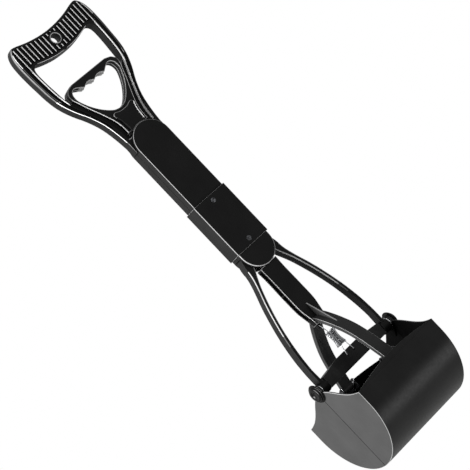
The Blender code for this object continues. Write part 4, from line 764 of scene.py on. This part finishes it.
# Stem covers and collar
def cover_outline(half, arc, end):
    """A tongue shape: round about the arc's height, square at its end."""
    turn = (0, 180) if end < arc else (180, 360)
    round_end = bow((0, arc), half, *turn, 36)
    return round_end + [(round_end[-1][0], end), (round_end[0][0], end)]


def stem_cover(part, word, side, arc, end, screws):
    """A shell with a rounded end: thick face, thin side walls, a tongue over the round end."""
    away = 1 if end > arc else -1
    shell = sheet(f"stem_shell_{part}_{word}", cover_outline(COVER_HALF, arc, end), "y",
                  *span(side, 0.15, COVER_FACE))
    with_slots(shell, BLACK_PP, RUBBED_HIGHLIGHT_PP)
    reach = COVER_HALF + 4
    tongue = oblong(-reach, arc, reach, arc - away * reach)
    carve(shell, sheet("tongue_tool", tongue, "y", *span(side, -4, 7.3)))
    cavity = cover_outline(COVER_HALF - 2.0, arc, end + away * 4)
    carve(shell, sheet("cavity_tool", cavity, "y", *span(side, -4, 9.6)))
    if side < 0 and part == "upper":
        carve(shell, sheet("eye_room", oblong(-7.4, 340, 7.4, 361.9), "y", -10.7, -9.0))
    if side > 0:
        for place in screws:
            carve(shell, dowel("seat_tool", place, "y", 10.3, 14, 3.3, 28),
                  dowel("bore_tool", place, "y", 8, 14, 1.6, 20))
    ease_edges(shell, 0.9, 3, 40)
    polish(shell)
    # Only the outer face's eased edges keep the rubbed grey, a painted highlight along the
    # cover's edges.
    sort_faces(shell, lambda middle, *_: BLACK_PP if abs(middle.y) < 9.0 else None)
    body = "handle" if part == "upper" else "lower_frame"
    return dress(shell, body, "black_plastic", f"{part}_cover_{word}")


def rounded_box(half_x, half_y, radius):
    """A rectangle about the stem's axis with round corners."""
    loop = []
    for x, y, start in ((1, 1, 0), (-1, 1, 90), (-1, -1, 180), (1, -1, 270)):
        loop += bow((x * (half_x - radius), y * (half_y - radius)), radius, start, start + 90, 8)
    return loop


def collar_finish(middle, normal, now):
    """Rubbed grey with a painted highlight down the four rounded corners."""
    on_corner = abs(middle.x) > 28.4 and abs(middle.y) > 12.4
    if on_corner and min(abs(normal.x), abs(normal.y)) > 0.6:
        return RUBBED_HIGHLIGHT_PP


COLLAR_RIVETS = (("upper", "top", 392.0), ("lower", "bottom", 326.0))


def lock_collar():
    """Sliding sleeve with eased lips at both ends."""
    sleeve = sheet("lock_collar_sleeve", rounded_box(29.9, 13.9, 2.2), "z", *COLLAR)
    with_slots(sleeve, BLACK_PP, RUBBED_HIGHLIGHT_PP)
    carve(sleeve, sheet("sleeve_tool", rounded_box(28.3, 12.3, 1.0), "z", *COLLAR_BORE))
    ease_edges(sleeve, 0.5, 2, 60)
    for _, _, z in COLLAR_RIVETS:
        carve(sleeve, dowel("rivet_bore", (0, z), "y", -16, -10, 1.8, 20))
    polish(sleeve)
    sort_faces(sleeve, collar_finish)
    return dress(sleeve, "collar", "black_plastic", "lock_collar")


def collar_rivet(word, end, z):
    """Semi-tubular rivet: domed rim round a small dimple."""
    section = [(0, 0.35), (0.9, 0.4), (1.3, 0.75), (2.2, 1.0), (3.0, 0.85), (3.6, 0.3),
               (3.6, 0.0), (1.5, 0.0), (1.5, -1.4), (0, -1.4)]
    section = [(r, 14.1 + h) for r, h in section]
    rivet = lathe(f"collar_rivet_{word}_dome", section, (0, 0, z), "y", -1, 32)
    polish(rivet, 60)
    return dress(rivet, "collar", "black_steel", f"collar_rivet_{end}", RIVET_STEEL)


# Lower frame
ARM_HEAD = [(19.2, 296.3), (19.2, 318.8), (25.5, 318.8), (25.5, 313.0)]
ARM_OUTER = [(27.6, 312.5), (31.0, 301.6), (33.0, 287.0), (38.4, 270.0), (46.2, 250.0),
             (52.7, 230.0), (58.2, 210.0), (62.4, 190.0), (65.4, 170.0), (66.9, 150.0)]
ARM_FOOT = [(67.2, PIVOT), (61.4, PIVOT)]
ARM_INNER = [(62.2, 150.0), (60.5, 169.0), (57.3, 190.0), (53.0, 210.0), (47.4, 230.0),
             (40.6, 250.0), (32.6, 270.0), (23.6, 287.0)]


def arm_finish(middle, normal, now):
    """Painted highlight on the strap's edges: rubbed grey along its middle, painted light grey
    below, plain at its ends.
    """
    if now == PAINTED_LIGHT_GREY_PP:
        if 205 < middle.z < 296:
            return RUBBED_HIGHLIGHT_PP
        if not 188 < middle.z < 296:
            return BLACK_PP


def side_arm(word, side):
    """Bowed yoke arm, a thin strap set on edge, with soft edges and a round eye."""
    outline = ARM_HEAD + flowing(ARM_OUTER, 4) + ARM_FOOT + flowing(ARM_INNER, 4)
    arm = sheet(f"yoke_arm_{word}", turned(side, outline), "y", -7, 7)
    with_slots(arm, BLACK_PP, PAINTED_LIGHT_GREY_PP, RUBBED_HIGHLIGHT_PP)
    ease_edges(arm, 1.1, 3, 50)
    eye = dowel("eye", (0, PIVOT), "x", *span(side, 58.0, 70.3), 8.7, 40)
    with_slots(eye, BLACK_PP, PAINTED_LIGHT_GREY_PP)
    ease_edges(eye, 0.8, 2, 50)
    weld(arm, eye)
    carve(arm, dowel("eye_bore", (0, PIVOT), "x", *span(side, 50, 80), BORE, 24))
    polish(arm)
    sort_faces(arm, arm_finish)
    return dress(arm, "lower_frame", "black_plastic", f"{word}_arm")


BAR_HALF = [(0, 138.8), (24.2, 138.8), (40.4, 136.6), (57.4, 134.5), (57.4, 116.9)]
BAR_SWELL = [(26, -2.0), (33, -2.5), (41, -5.4), (47, -6.4), (57.6, -6.5)]
SPRING_X = 6.7


def cross_bar():
    """Flat bar that thickens to its ends, with bolt bores, rear nut slots and spring holes."""
    bar = sheet("pivot_cross_bar", mirrored(BAR_HALF), "y", -9.0, 9.0)
    swell = flowing(BAR_SWELL, 5)
    plan = [(-x, y) for x, y in reversed(swell)] + swell
    trim(bar, sheet("swell_tool", plan + [(-x, -y) for x, y in plan], "z", 110, 145))
    # The lighter plastic lifts the bar out of shade; its eased edges take the painted light grey
    # as a highlight.
    with_slots(bar, ARM_LIFTED_PP, PAINTED_LIGHT_GREY_PP)
    ease_edges(bar, 0.45, 2, 50)
    for side in (-1, 1):
        nut_slot = oblong(side * 41.2, PIVOT - 5.9, side * 46.4, PIVOT + 5.9)
        carve(bar, dowel("bolt_bore", (0, PIVOT), "x", *span(side, 38, 64), BORE, 24),
              sheet("nut_slot", nut_slot, "y", -5.0, 9.0),
              dowel("spring_hole", (side * SPRING_X, 131.5), "y", -6, 6, 1.3, 20))
    polish(bar)
    return dress(bar, "lower_frame", "black_plastic", "cross_bar")


def pivot_knob(word, side):
    """Stacked knob: flange, two grip rings, dished cap, and the bolt it carries."""
    section = [(0, 80.3), (2.4, 80.35), (3.6, 80.6), (4.8, 81.5), (6.2, 81.9), (8.2, 81.8),
               (9.7, 81.3), (10.4, 80.6), (10.4, 80.0), (9.9, 79.8), (9.9, 79.5), (11.7, 79.4),
               (12.3, 79.0), (12.3, 78.5), (11.6, 78.2), (11.6, 78.0), (12.9, 77.9),
               (13.3, 77.6), (13.3, 77.1), (12.9, 76.7), (3.0, 76.7), (3.0, 41.0),
               (2.5, 40.5), (0, 40.5)]
    knob = lathe(f"stacked_knob_{word}", section, (0, 0, PIVOT), "x", side, 56)
    with_slots(knob, KNOB_NYLON, ZINC)
    polish(knob, 35)
    sort_faces(knob, lambda middle, *_: ZINC if abs(middle.x) < 76.6 else KNOB_NYLON)
    return dress(knob, "lower_frame", "black_steel", f"{word}_pivot_bolt")


def flat_washer(word, side):
    """Punched washer, rolled on one edge and sharp on the other."""
    section = [(3.2, 70.6), (8.3, 70.6), (8.5, 70.8), (8.5, 71.35), (8.35, 71.5), (3.2, 71.5)]
    ring = lathe(f"punched_washer_{word}", section, (0, 0, PIVOT), "x", side, 48)
    polish(ring, 30)
    return dress(ring, "lower_frame", "bright_steel", f"{word}_pivot_washer", ZINC)


def hex_nut(word, side):
    """Six-sided nut with chamfered corners and a threaded bore."""
    corners = [(5.5 * math.cos(a), PIVOT + 5.5 * math.sin(a))
               for a in (TURN * (i + 0.5) / 6 for i in range(6))]
    nut = sheet(f"hex_nut_{word}", corners, "x", *span(side, 41.7, 45.9))
    cone = [(0, 40), (4.9, 41.6), (5.7, 42.3), (5.7, 45.3), (4.9, 46.0), (0, 47)]
    trim(nut, lathe("chamfer_tool", cone, (0, 0, PIVOT), "x", side, 48))
    carve(nut, dowel("nut_bore", (0, PIVOT), "x", *span(side, 38, 50), 3.15, 24))
    polish(nut, 25)
    return dress(nut, "lower_frame", "bright_steel", f"{word}_pivot_nut", ZINC)


# Fork
FORK_HEAD = [(6.5, 303.0), (6.5, 286.5)]
FORK_BAR = [(15.4, 286.5), (14.7, 270.0), (14.9, 242.0), (14.7, 216.0), (12.6, 203.0),
            (11.0, 195.0), (10.0, 186.5)]
UPPER_CHANNEL = [(11.2, 243.2), (20, 243.2), (20, 283.0), (11.2, 283.0)]
LOWER_CHANNEL = [(8.8, 198.5), (20, 198.5), (20, 240.8), (11.2, 240.8), (11.2, 214)]
FORK_LINE = [(0.5, 197.0), (4.0, 194.5), (13.9, 186.5), (27.1, 173.2), (40.9, 156.0),
             (50.5, 138.7), (58.1, 119.7), (66.0, 98.0)]
FORK_EYE = (66, 98)
GUSSET = [(-5.5, 217.0), (-6.2, 215.5), (-33.5, 168.8), (-30.0, 168.0), (-12.0, 186.5),
          (-4.0, 193.0)]
HOOK_LUG = [(4.5, 189), (8.9, 189), (8.9, 181.2), (8.0, 180.2), (5.4, 180.2), (4.5, 181.2)]
HOOK_HOLE = 184.0


def fork_arm(fork, side):
    """Weld on one bowed arm with its eye and gusset, and the rear one's spine."""
    line = flowing(FORK_LINE, 6)
    arm = sheet("fork_arm", turned(side, ribbon(line, 6.0)), "x", -8.8, 8.8)
    with_slots(arm, BLACK_PP, RUBBED_HIGHLIGHT_PP)
    ease_edges(arm, 0.7, 2, 50)
    centre = (side * FORK_EYE[0], FORK_EYE[1])
    eye = dowel("eye", centre, "x", -8.9, 8.9, 4.0, 32)
    web = with_slots(sheet("gusset", turned(-side, GUSSET), "x", -0.8, 0.8), BLACK_PP, RUBBED_HIGHLIGHT_PP)
    # The gusset's edges take the rubbed grey as a painted highlight.
    sort_faces(web, lambda middle, normal, _: BLACK_PP if abs(normal.x) > 0.5 else RUBBED_HIGHLIGHT_PP)
    weld(fork, arm, eye, web)
    if side > 0:
        weld(fork, sheet("arm_spine", ribbon(line[6:-6], 6.8), "x", -3.2, -2.5))
    carve(fork, dowel("pin_bore", centre, "x", -16, 16, 1.7, 20))


def fork_finish(middle, normal, now):
    """Near-white painted highlight on the bar's edges and painted light on its shaded flanges;
    arms painted light grey inside, lifted plastic elsewhere.
    """
    if abs(middle.y) < 6.6:
        if middle.z > 192 and abs(middle.x) > 9:
            if now == RUBBED_HIGHLIGHT_PP:
                return CREST_HIGHLIGHT_PP
            if abs(normal.x) > 0.9 and abs(middle.y) > 3.7:
                return PAINTED_LIGHT_GREY_PP
        return None
    if now == BLACK_PP:
        inward = normal.y * middle.y < 0
        return PAINTED_LIGHT_GREY_PP if inward and abs(normal.x) < 0.2 else ARM_LIFTED_PP
    if now == RUBBED_HIGHLIGHT_PP and middle.y > 0:
        return ARM_LIFTED_PP


def pull_fork():
    """Centre bar with side channels that splits into a front and a rear bowed arm."""
    fork = sheet("fork_bar_moulding", mirrored(FORK_HEAD + flowing(FORK_BAR, 5)), "y", -6.0, 6.0)
    with_slots(fork, BLACK_PP, RUBBED_HIGHLIGHT_PP, PAINTED_LIGHT_GREY_PP, ARM_LIFTED_PP, CREST_HIGHLIGHT_PP)
    ease_edges(fork, 0.6, 2, 50)
    for side in (-1, 1):
        for channel in (LOWER_CHANNEL, UPPER_CHANNEL):
            carve(fork, sheet("channel_tool", turned(side, channel), "y", -3.6, 3.6))
    for side in (-1, 1):
        fork_arm(fork, side)
    for side in (-1, 1):
        weld(fork, sheet("hook_lug", turned(side, HOOK_LUG), "y", -2.2, 2.2))
        carve(fork, dowel("hook_hole", (side * SPRING_X, HOOK_HOLE), "y", -2.8, 3.0, 0.9, 16))
    polish(fork)
    sort_faces(fork, fork_finish)
    return dress(fork, "fork", "black_plastic", "pull_fork")


WIRE = 0.62
COILS = 17
PER_COIL = 16
COIL_PITCH = 1.4
COIL_FOOT = 146.5


def coil_path(x):
    """Hook, lean, waisted coil and hook again, from the cross bar up to the fork's lug."""
    heart, count = x * 0.66, COILS * PER_COIL
    path = [(x, 2.9, 130.2), (x, 2.4, 131.3), (x, 1.2, 131.6), (x, -1.6, 131.6),
            (x, -2.6, 131.9), (x, -2.9, 133.0), (heart + x * 0.12, -3.4, 141.5),
            (heart, -3.5, 145.5)]
    for i in range(count + 1):
        angle = -math.pi / 2 + TURN * i / PER_COIL
        ease = min(1.0, (i + 4) / PER_COIL, (count - i + 4) / PER_COIL)
        waist = 2.5 + 1.2 * (2 * i / count - 1) ** 2
        radius = waist * (0.6 + 0.4 * ease)
        middle = math.copysign(waist + WIRE + 0.08, x)
        path.append((middle + radius * math.cos(angle), radius * math.sin(angle) - 0.6,
                     COIL_FOOT + COIL_PITCH * i / PER_COIL))
    return path + [(heart, -3.5, 171.5), (x, -2.9, 182.0), (x, -2.5, 183.8),
                   (x, -1.4, HOOK_HOLE), (x, 1.6, HOOK_HOLE), (x, 2.7, 183.6), (x, 2.9, 182.6)]


def tension_spring(word, side):
    """Close-wound wire, a little waisted, hooked through the cross bar and the fork's lug."""
    coil = wire_along(f"wire_spring_{word}", coil_path(side * SPRING_X), WIRE, 2)
    polish(coil, 60)
    with_slots(coil, SPRING_STEEL, ZINC)
    # The hooks take the brighter plated steel as a painted glint; the coil keeps the greyer
    # spring wire.
    sort_faces(coil, lambda middle, *_: SPRING_STEEL if 141 < middle.z < 173 else ZINC)
    dress(coil, None, "bright_steel", f"{word}_spring")
    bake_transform(coil)
    return coil


# Jaws
JAW_ROUND = 75.0
JAW_INNER = 72.6
JAW_CORNER = 93.8
JAW_END = 76.5
PLATE_IN = 74.3
SEAM = 0.2
EAR = 9.0
EAR_START = 190.0
PAD_PLACE = (16.5 * math.cos(math.radians(56)), PIVOT - 16.5 * math.sin(math.radians(56)))


def hollow_edge(side, meet):
    """The end plate's hollow top edge from its corner to the ear."""
    corner, end = Vector((side * JAW_ROUND, JAW_CORNER)), Vector(meet)
    along = (end - corner).normalized()
    down = Vector((along.y, -along.x)) * (1 if side < 0 else -1)
    dips = flowing([(0, 0), (0.1, 1.9), (0.25, 3.7), (0.4, 3.9), (0.55, 2.9), (0.7, 1.3),
                    (0.85, 0.1), (1, 0)], 3)
    return [tuple(corner.lerp(end, t) + down * dip) for t, dip in dips[1:-1]]


def drum_arc(side, radius, start):
    """A quarter of the drum's round in 60 steps, from start degrees off its foot."""
    angles = [math.radians(start + (90 - start) * i / 60) for i in range(61)]
    return [(side * radius * math.sin(a), JAW_ROUND - radius * math.cos(a)) for a in angles]


def drum_outline(side):
    """Half a drum seen from its end; the front half keeps the round of the ear."""
    start = math.radians(EAR_START)
    meet = (-side * EAR * math.cos(start), PIVOT + EAR * math.sin(start))
    outline = drum_arc(side, JAW_ROUND, math.degrees(math.asin(SEAM / JAW_ROUND)))
    outline += [(side * JAW_ROUND, JAW_CORNER)] + hollow_edge(side, meet)
    if side > 0:
        return outline + [meet, (side * SEAM, PIVOT)]
    below = math.degrees(math.acos(SEAM / EAR)) - 180
    return outline + [(-side * y, PIVOT + z)
                      for y, z in bow((0, 0), EAR, EAR_START, below, 40)]


def inner_ears(drum):
    """The rear jaw's ears, which sit inside the front jaw's and rest on pads."""
    for end in (-1, 1):
        carve(drum, dowel("ear_room", (0, PIVOT), "x", *span(end, 70.3, 80.5), EAR + 0.5, 48))
        arm = bow((0, PIVOT), EAR, 34, 214, 24) + bow(PAD_PLACE, 6.0, -146, 34, 20)
        weld(drum, sheet("inner_ear", arm, "x", *span(end, 71.8, 74.0)),
             dowel("ear_pad", PAD_PLACE, "x", *span(end, 73.0, 75.3), 5.7, 32))


def jaw_edge(middle, run):
    """How much of the width rounds an edge: most on the end plates, least in the seam."""
    on_plate = abs(abs(middle.x) - JAW_END) < 0.05
    seam_edge = abs(middle.y) < 0.6 and middle.z < PIVOT - 8
    bore_edge = Vector((middle.y, middle.z - PIVOT)).length < 4
    if on_plate and not seam_edge and not bore_edge:
        return 0.55 if middle.z < JAW_CORNER else 0.6
    return 0.25 if abs(run.x) > 1 or seam_edge else 0.15


def jaw_finish(middle, normal, now):
    """Painted shade inside and in the seam; the drawn round side smoother and painted darker as
    shade.
    """
    spoke = Vector((0, middle.y, middle.z - JAW_ROUND))
    if abs(middle.x) < PLATE_IN + 0.05 and normal.dot(spoke) < 0:
        return JAW_INSIDE_SHADE
    if abs(middle.x) < JAW_END - 0.7 and abs(middle.y) > 70 and middle.z > 88:
        return JAW_SHADED_SIDE
    if normal.x * middle.x < -1 and abs(middle.x) < PLATE_IN + 0.4:
        return JAW_INSIDE_SHADE
    if abs(middle.y) < 1.1 and middle.z < 113:
        return JAW_INSIDE_SHADE
    if abs(normal.x) < 0.3 and spoke.length > 73.5 and now == JAW_ABS:
        return JAW_SHADED_SIDE


def jaw(word, side):
    """Half a drum: round shell, two end plates with a seam, arched lip and pivot ears."""
    drum = sheet(f"jaw_drum_{word}", drum_outline(side), "x", -JAW_END, JAW_END)
    hollow = drum_arc(side, JAW_INNER, 0)
    hollow += [(side * JAW_INNER, 140), (-side * 14, 140), (-side * 14, JAW_ROUND - JAW_INNER)]
    carve(drum, sheet("hollow_tool", hollow, "x", -PLATE_IN, PLATE_IN))
    reach = PLATE_IN + 1.1
    lip = [(reach, 91.8), (-reach, 91.8)] + [
        (x, JAW_CORNER - 0.1 + 7.8 * math.cos(math.pi * x / reach / 2))
        for x in (reach * (i / 24 - 1) for i in range(49))]
    weld(drum, sheet("lip", lip, "y", *span(side, 72.7, 74.9)))
    if side > 0:
        inner_ears(drum)
    for end in (-1, 1):
        carve(drum, dowel("jaw_bore", (0, PIVOT), "x", *span(end, 67, 81), BORE, 28))
    # The eased rims take the pale rim grey as a painted highlight.
    with_slots(drum, JAW_ABS, JAW_RIM_HIGHLIGHT, JAW_SHADED_SIDE, JAW_INSIDE_SHADE)
    round_chosen(drum, 1.0, 3, jaw_edge)
    polish(drum, 30)
    sort_faces(drum, jaw_finish)
    return dress(drum, f"{word}_jaw", "grey_plastic", f"{word}_jaw")


def bracket_rivet(word, side, hand, end):
    """Domed rivet that holds a bracket to the shell's inside."""
    section = [(0, -69.2), (0.8, -69.3), (1.5, -69.7), (2.0, -70.3), (1.0, -70.4),
               (1.0, -73.9), (0, -73.9)]
    rivet = lathe(f"{word}_{hand}_rivet_dome", section, (end * 16.5, 0, 94.5), "y", -side, 28)
    polish(rivet, 50)
    return dress(rivet, f"{word}_jaw", "bright_steel", f"{word}_rivet_{hand}", ZINC)


# Fasteners and copied solids
def cover_screw(part, number, x, z, body):
    """Pan-head screw sunk in the back shell, with a cross recess."""
    section = [(0, 11.45), (1.4, 11.5), (2.3, 11.3), (2.85, 10.9), (3.0, 10.4), (1.2, 10.35),
               (1.2, -10.0), (0.8, -10.6), (0, -10.6)]
    screw = lathe(f"pan_screw_{part}_{number}", section, (x, 0, z), "y", 1, 28)
    for wide, tall in ((1.7, 0.32), (0.32, 1.7)):
        cross = oblong(x - wide, z - tall, x + wide, z + tall)
        carve(screw, sheet("cross_tool", cross, "y", 10.7, 13))
    polish(screw, 35)
    return dress(screw, body, "bright_steel", f"{part}_screw_{number}", ZINC)


def eased_copy(node, name, body, slot, width):
    """The solid's own form, merged and given the soft edges of a moulded or pressed piece."""
    take_up(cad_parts[node])
    bpy.ops.object.duplicate()
    piece = bpy.context.object
    piece.name = name
    piece.data.name = name
    open_mesh()
    bpy.ops.mesh.remove_doubles(threshold=WELD)
    bpy.ops.mesh.dissolve_limited(angle_limit=math.radians(1))
    close_mesh()
    with_slots(piece, *{"black_plastic": (BLACK_PP, RUBBED_HIGHLIGHT_PP),
                        "black_steel": (BLACK_OXIDE, ZINC)}[slot])
    for face in piece.data.polygons:
        face.material_index = 0
    # The plastic pieces' eased edges take the rubbed grey with its painted highlight.
    ease_edges(piece, width, 2, 50)
    polish(piece)
    return dress(piece, body, slot, node)


def carry_over(*names):
    """Pins and rivets whose solid is right keep it and get the real finish."""
    for name in names:
        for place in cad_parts[name].material_slots:
            place.material = ZINC


# Everything in its order
handle_frame()
grip_ribs()
bead_lines()
hang_eyelet()
for side, word in FRONT_REAR:
    neck_plate(word, side)
trigger()
for side, word in FRONT_REAR:
    stem_cover("upper", word, side, NECK, COVER_END, UPPER_SCREWS)
    stem_cover("lower", word, side, LOWER_ARC, LOWER_END, LOWER_SCREWS)
lock_collar()
for word, end, z in COLLAR_RIVETS:
    collar_rivet(word, end, z)
for side, word in LEFT_RIGHT:
    side_arm(word, side)
    pivot_knob(word, side)
    flat_washer(word, side)
    hex_nut(word, side)
    tension_spring(word, side)
cross_bar()
pull_fork()
for side, word in FRONT_REAR:
    jaw(word, side)
    for end, hand in LEFT_RIGHT:
        bracket_rivet(word, side, hand, end)
for part, body, puller, screws in (("upper", "handle", "trigger", UPPER_SCREWS),
                                   ("lower", "lower_frame", "fork", LOWER_SCREWS)):
    for number, (x, z) in enumerate(screws, 1):
        cover_screw(part, number, x, z, body)
    eased_copy(f"{part}_hinge_block", f"hinge_half_{part}", body, "black_plastic", 0.35)
    eased_copy(f"{part}_pull_bar", f"drawn_strap_{part}", puller, "black_steel", 0.15)
for side, word in FRONT_REAR:
    eased_copy(f"{word}_bracket", f"{word}_jaw_clevis", f"{word}_jaw", "black_steel", 0.12)
carry_over("trigger_rivet", "pull_link_pin", "fold_pin_left", "fold_pin_right", "fork_rivet",
           "front_fork_pin", "rear_fork_pin")


# Room, light and camera
def room():
    """A pale floor far below, white to the camera, that keeps the object's soft shadow."""
    clear_bench()
    bpy.ops.mesh.primitive_plane_add(size=12, location=(0, 0, -0.9))
    floor = bpy.context.object
    floor.name = "pale_floor"
    bpy.ops.object.transform_apply(location=True, rotation=True, scale=True)
    material, tree, shader, place = blank_material("matt_white_backdrop_paper")
    fibre = add_node(tree, "ShaderNodeTexNoise", [("Scale", 1 / (2.5 * MM)), ("Detail", 3.0)],
                     [("Vector", place)])
    paper = add_node(tree, "ShaderNodeValToRGB", links=[("Fac", fibre.outputs["Fac"])],
                     stops=[(0.3, "#f4f4f3"), (0.7, "#fbfbfa")])
    tree.links.new(paper.outputs["Color"], shader.inputs["Base Color"])
    shader.inputs["Roughness"].default_value = 0.9
    shader.inputs["Specular IOR Level"].default_value = 0.1
    floor.data.materials.append(material)


def lamp(name, place, aim, size, watts):
    """A soft box turned to its aim."""
    bpy.ops.object.light_add(type="AREA", location=place)
    light = bpy.context.object
    light.name = name
    light.data.shape = "RECTANGLE"
    light.data.size, light.data.size_y = size
    light.data.energy = watts
    light.rotation_euler = (Vector(aim) - Vector(place)).to_track_quat("-Z", "Y").to_euler()


def sky():
    """White to the camera and to gloss, softer grey as the fill on matt faces."""
    world = bpy.data.worlds.new("studio_sky")
    bpy.context.scene.world = world
    world.use_nodes = True
    tree = world.node_tree
    tree.nodes.clear()
    path = add_node(tree, "ShaderNodeLightPath")
    seen = path.outputs["Is Camera Ray"]
    for ray in ("Is Glossy Ray", "Is Transmission Ray"):
        seen = add_node(tree, "ShaderNodeMath", links=[(0, seen), (1, path.outputs[ray])],
                        operation="MAXIMUM").outputs[0]
    fill, white = (add_node(tree, "ShaderNodeBackground",
                            [("Color", (1, 1, 1, 1)), ("Strength", strength)])
                   for strength in (0.30, 1.0))
    mix = add_node(tree, "ShaderNodeMixShader", links=[("Fac", seen), (1, fill.outputs[0]),
                                                       (2, white.outputs[0])])
    add_node(tree, "ShaderNodeOutputWorld", links=[("Surface", mix.outputs[0])])


CAMERA_PLACE = (-1.5485, -2.5190, 0.2541)
CAMERA_AHEAD = (0.52253, 0.85211, 0.02940)
CAMERA_BEARING = 0.5501
CAMERA_ROLL = (0.688, 0.726)
FOCAL_PIXELS = 2321.5
PICTURE_PIXELS = 470
SENSOR = 36.0


def camera():
    """Nearly level, thirty degrees round to the left, rolled so that the shaft lies across."""
    ahead = Vector(CAMERA_AHEAD).normalized()
    level = Vector((math.cos(CAMERA_BEARING), -math.sin(CAMERA_BEARING), 0))
    rolled_up = (CAMERA_ROLL[0] * level + CAMERA_ROLL[1] * level.cross(ahead)).normalized()
    right = ahead.cross(rolled_up).normalized()
    bpy.ops.object.camera_add(location=CAMERA_PLACE)
    view = bpy.context.object
    view.rotation_euler = Matrix((right, rolled_up, -ahead)).transposed().to_euler()
    view.data.sensor_width = SENSOR
    view.data.lens = FOCAL_PIXELS / PICTURE_PIXELS * SENSOR
    view.data.clip_end = 20.0
    bpy.context.scene.camera = view


room()
sky()
lamp("left_soft_box", place=(-1.7, 0.12, 0.55), aim=(0, 0, 0.33), size=(0.6, 1.3), watts=100)
lamp("front_fill", place=(0.5, -2.4, 1.0), aim=(0, 0, 0.35), size=(1.2, 1.2), watts=9)
lamp("low_strip", place=(0.57, -0.73, -0.60), aim=(0, -0.06, 0.05), size=(0.5, 0.35),
     watts=3.9)
camera()
bpy.context.scene.view_settings.view_transform = "Standard"
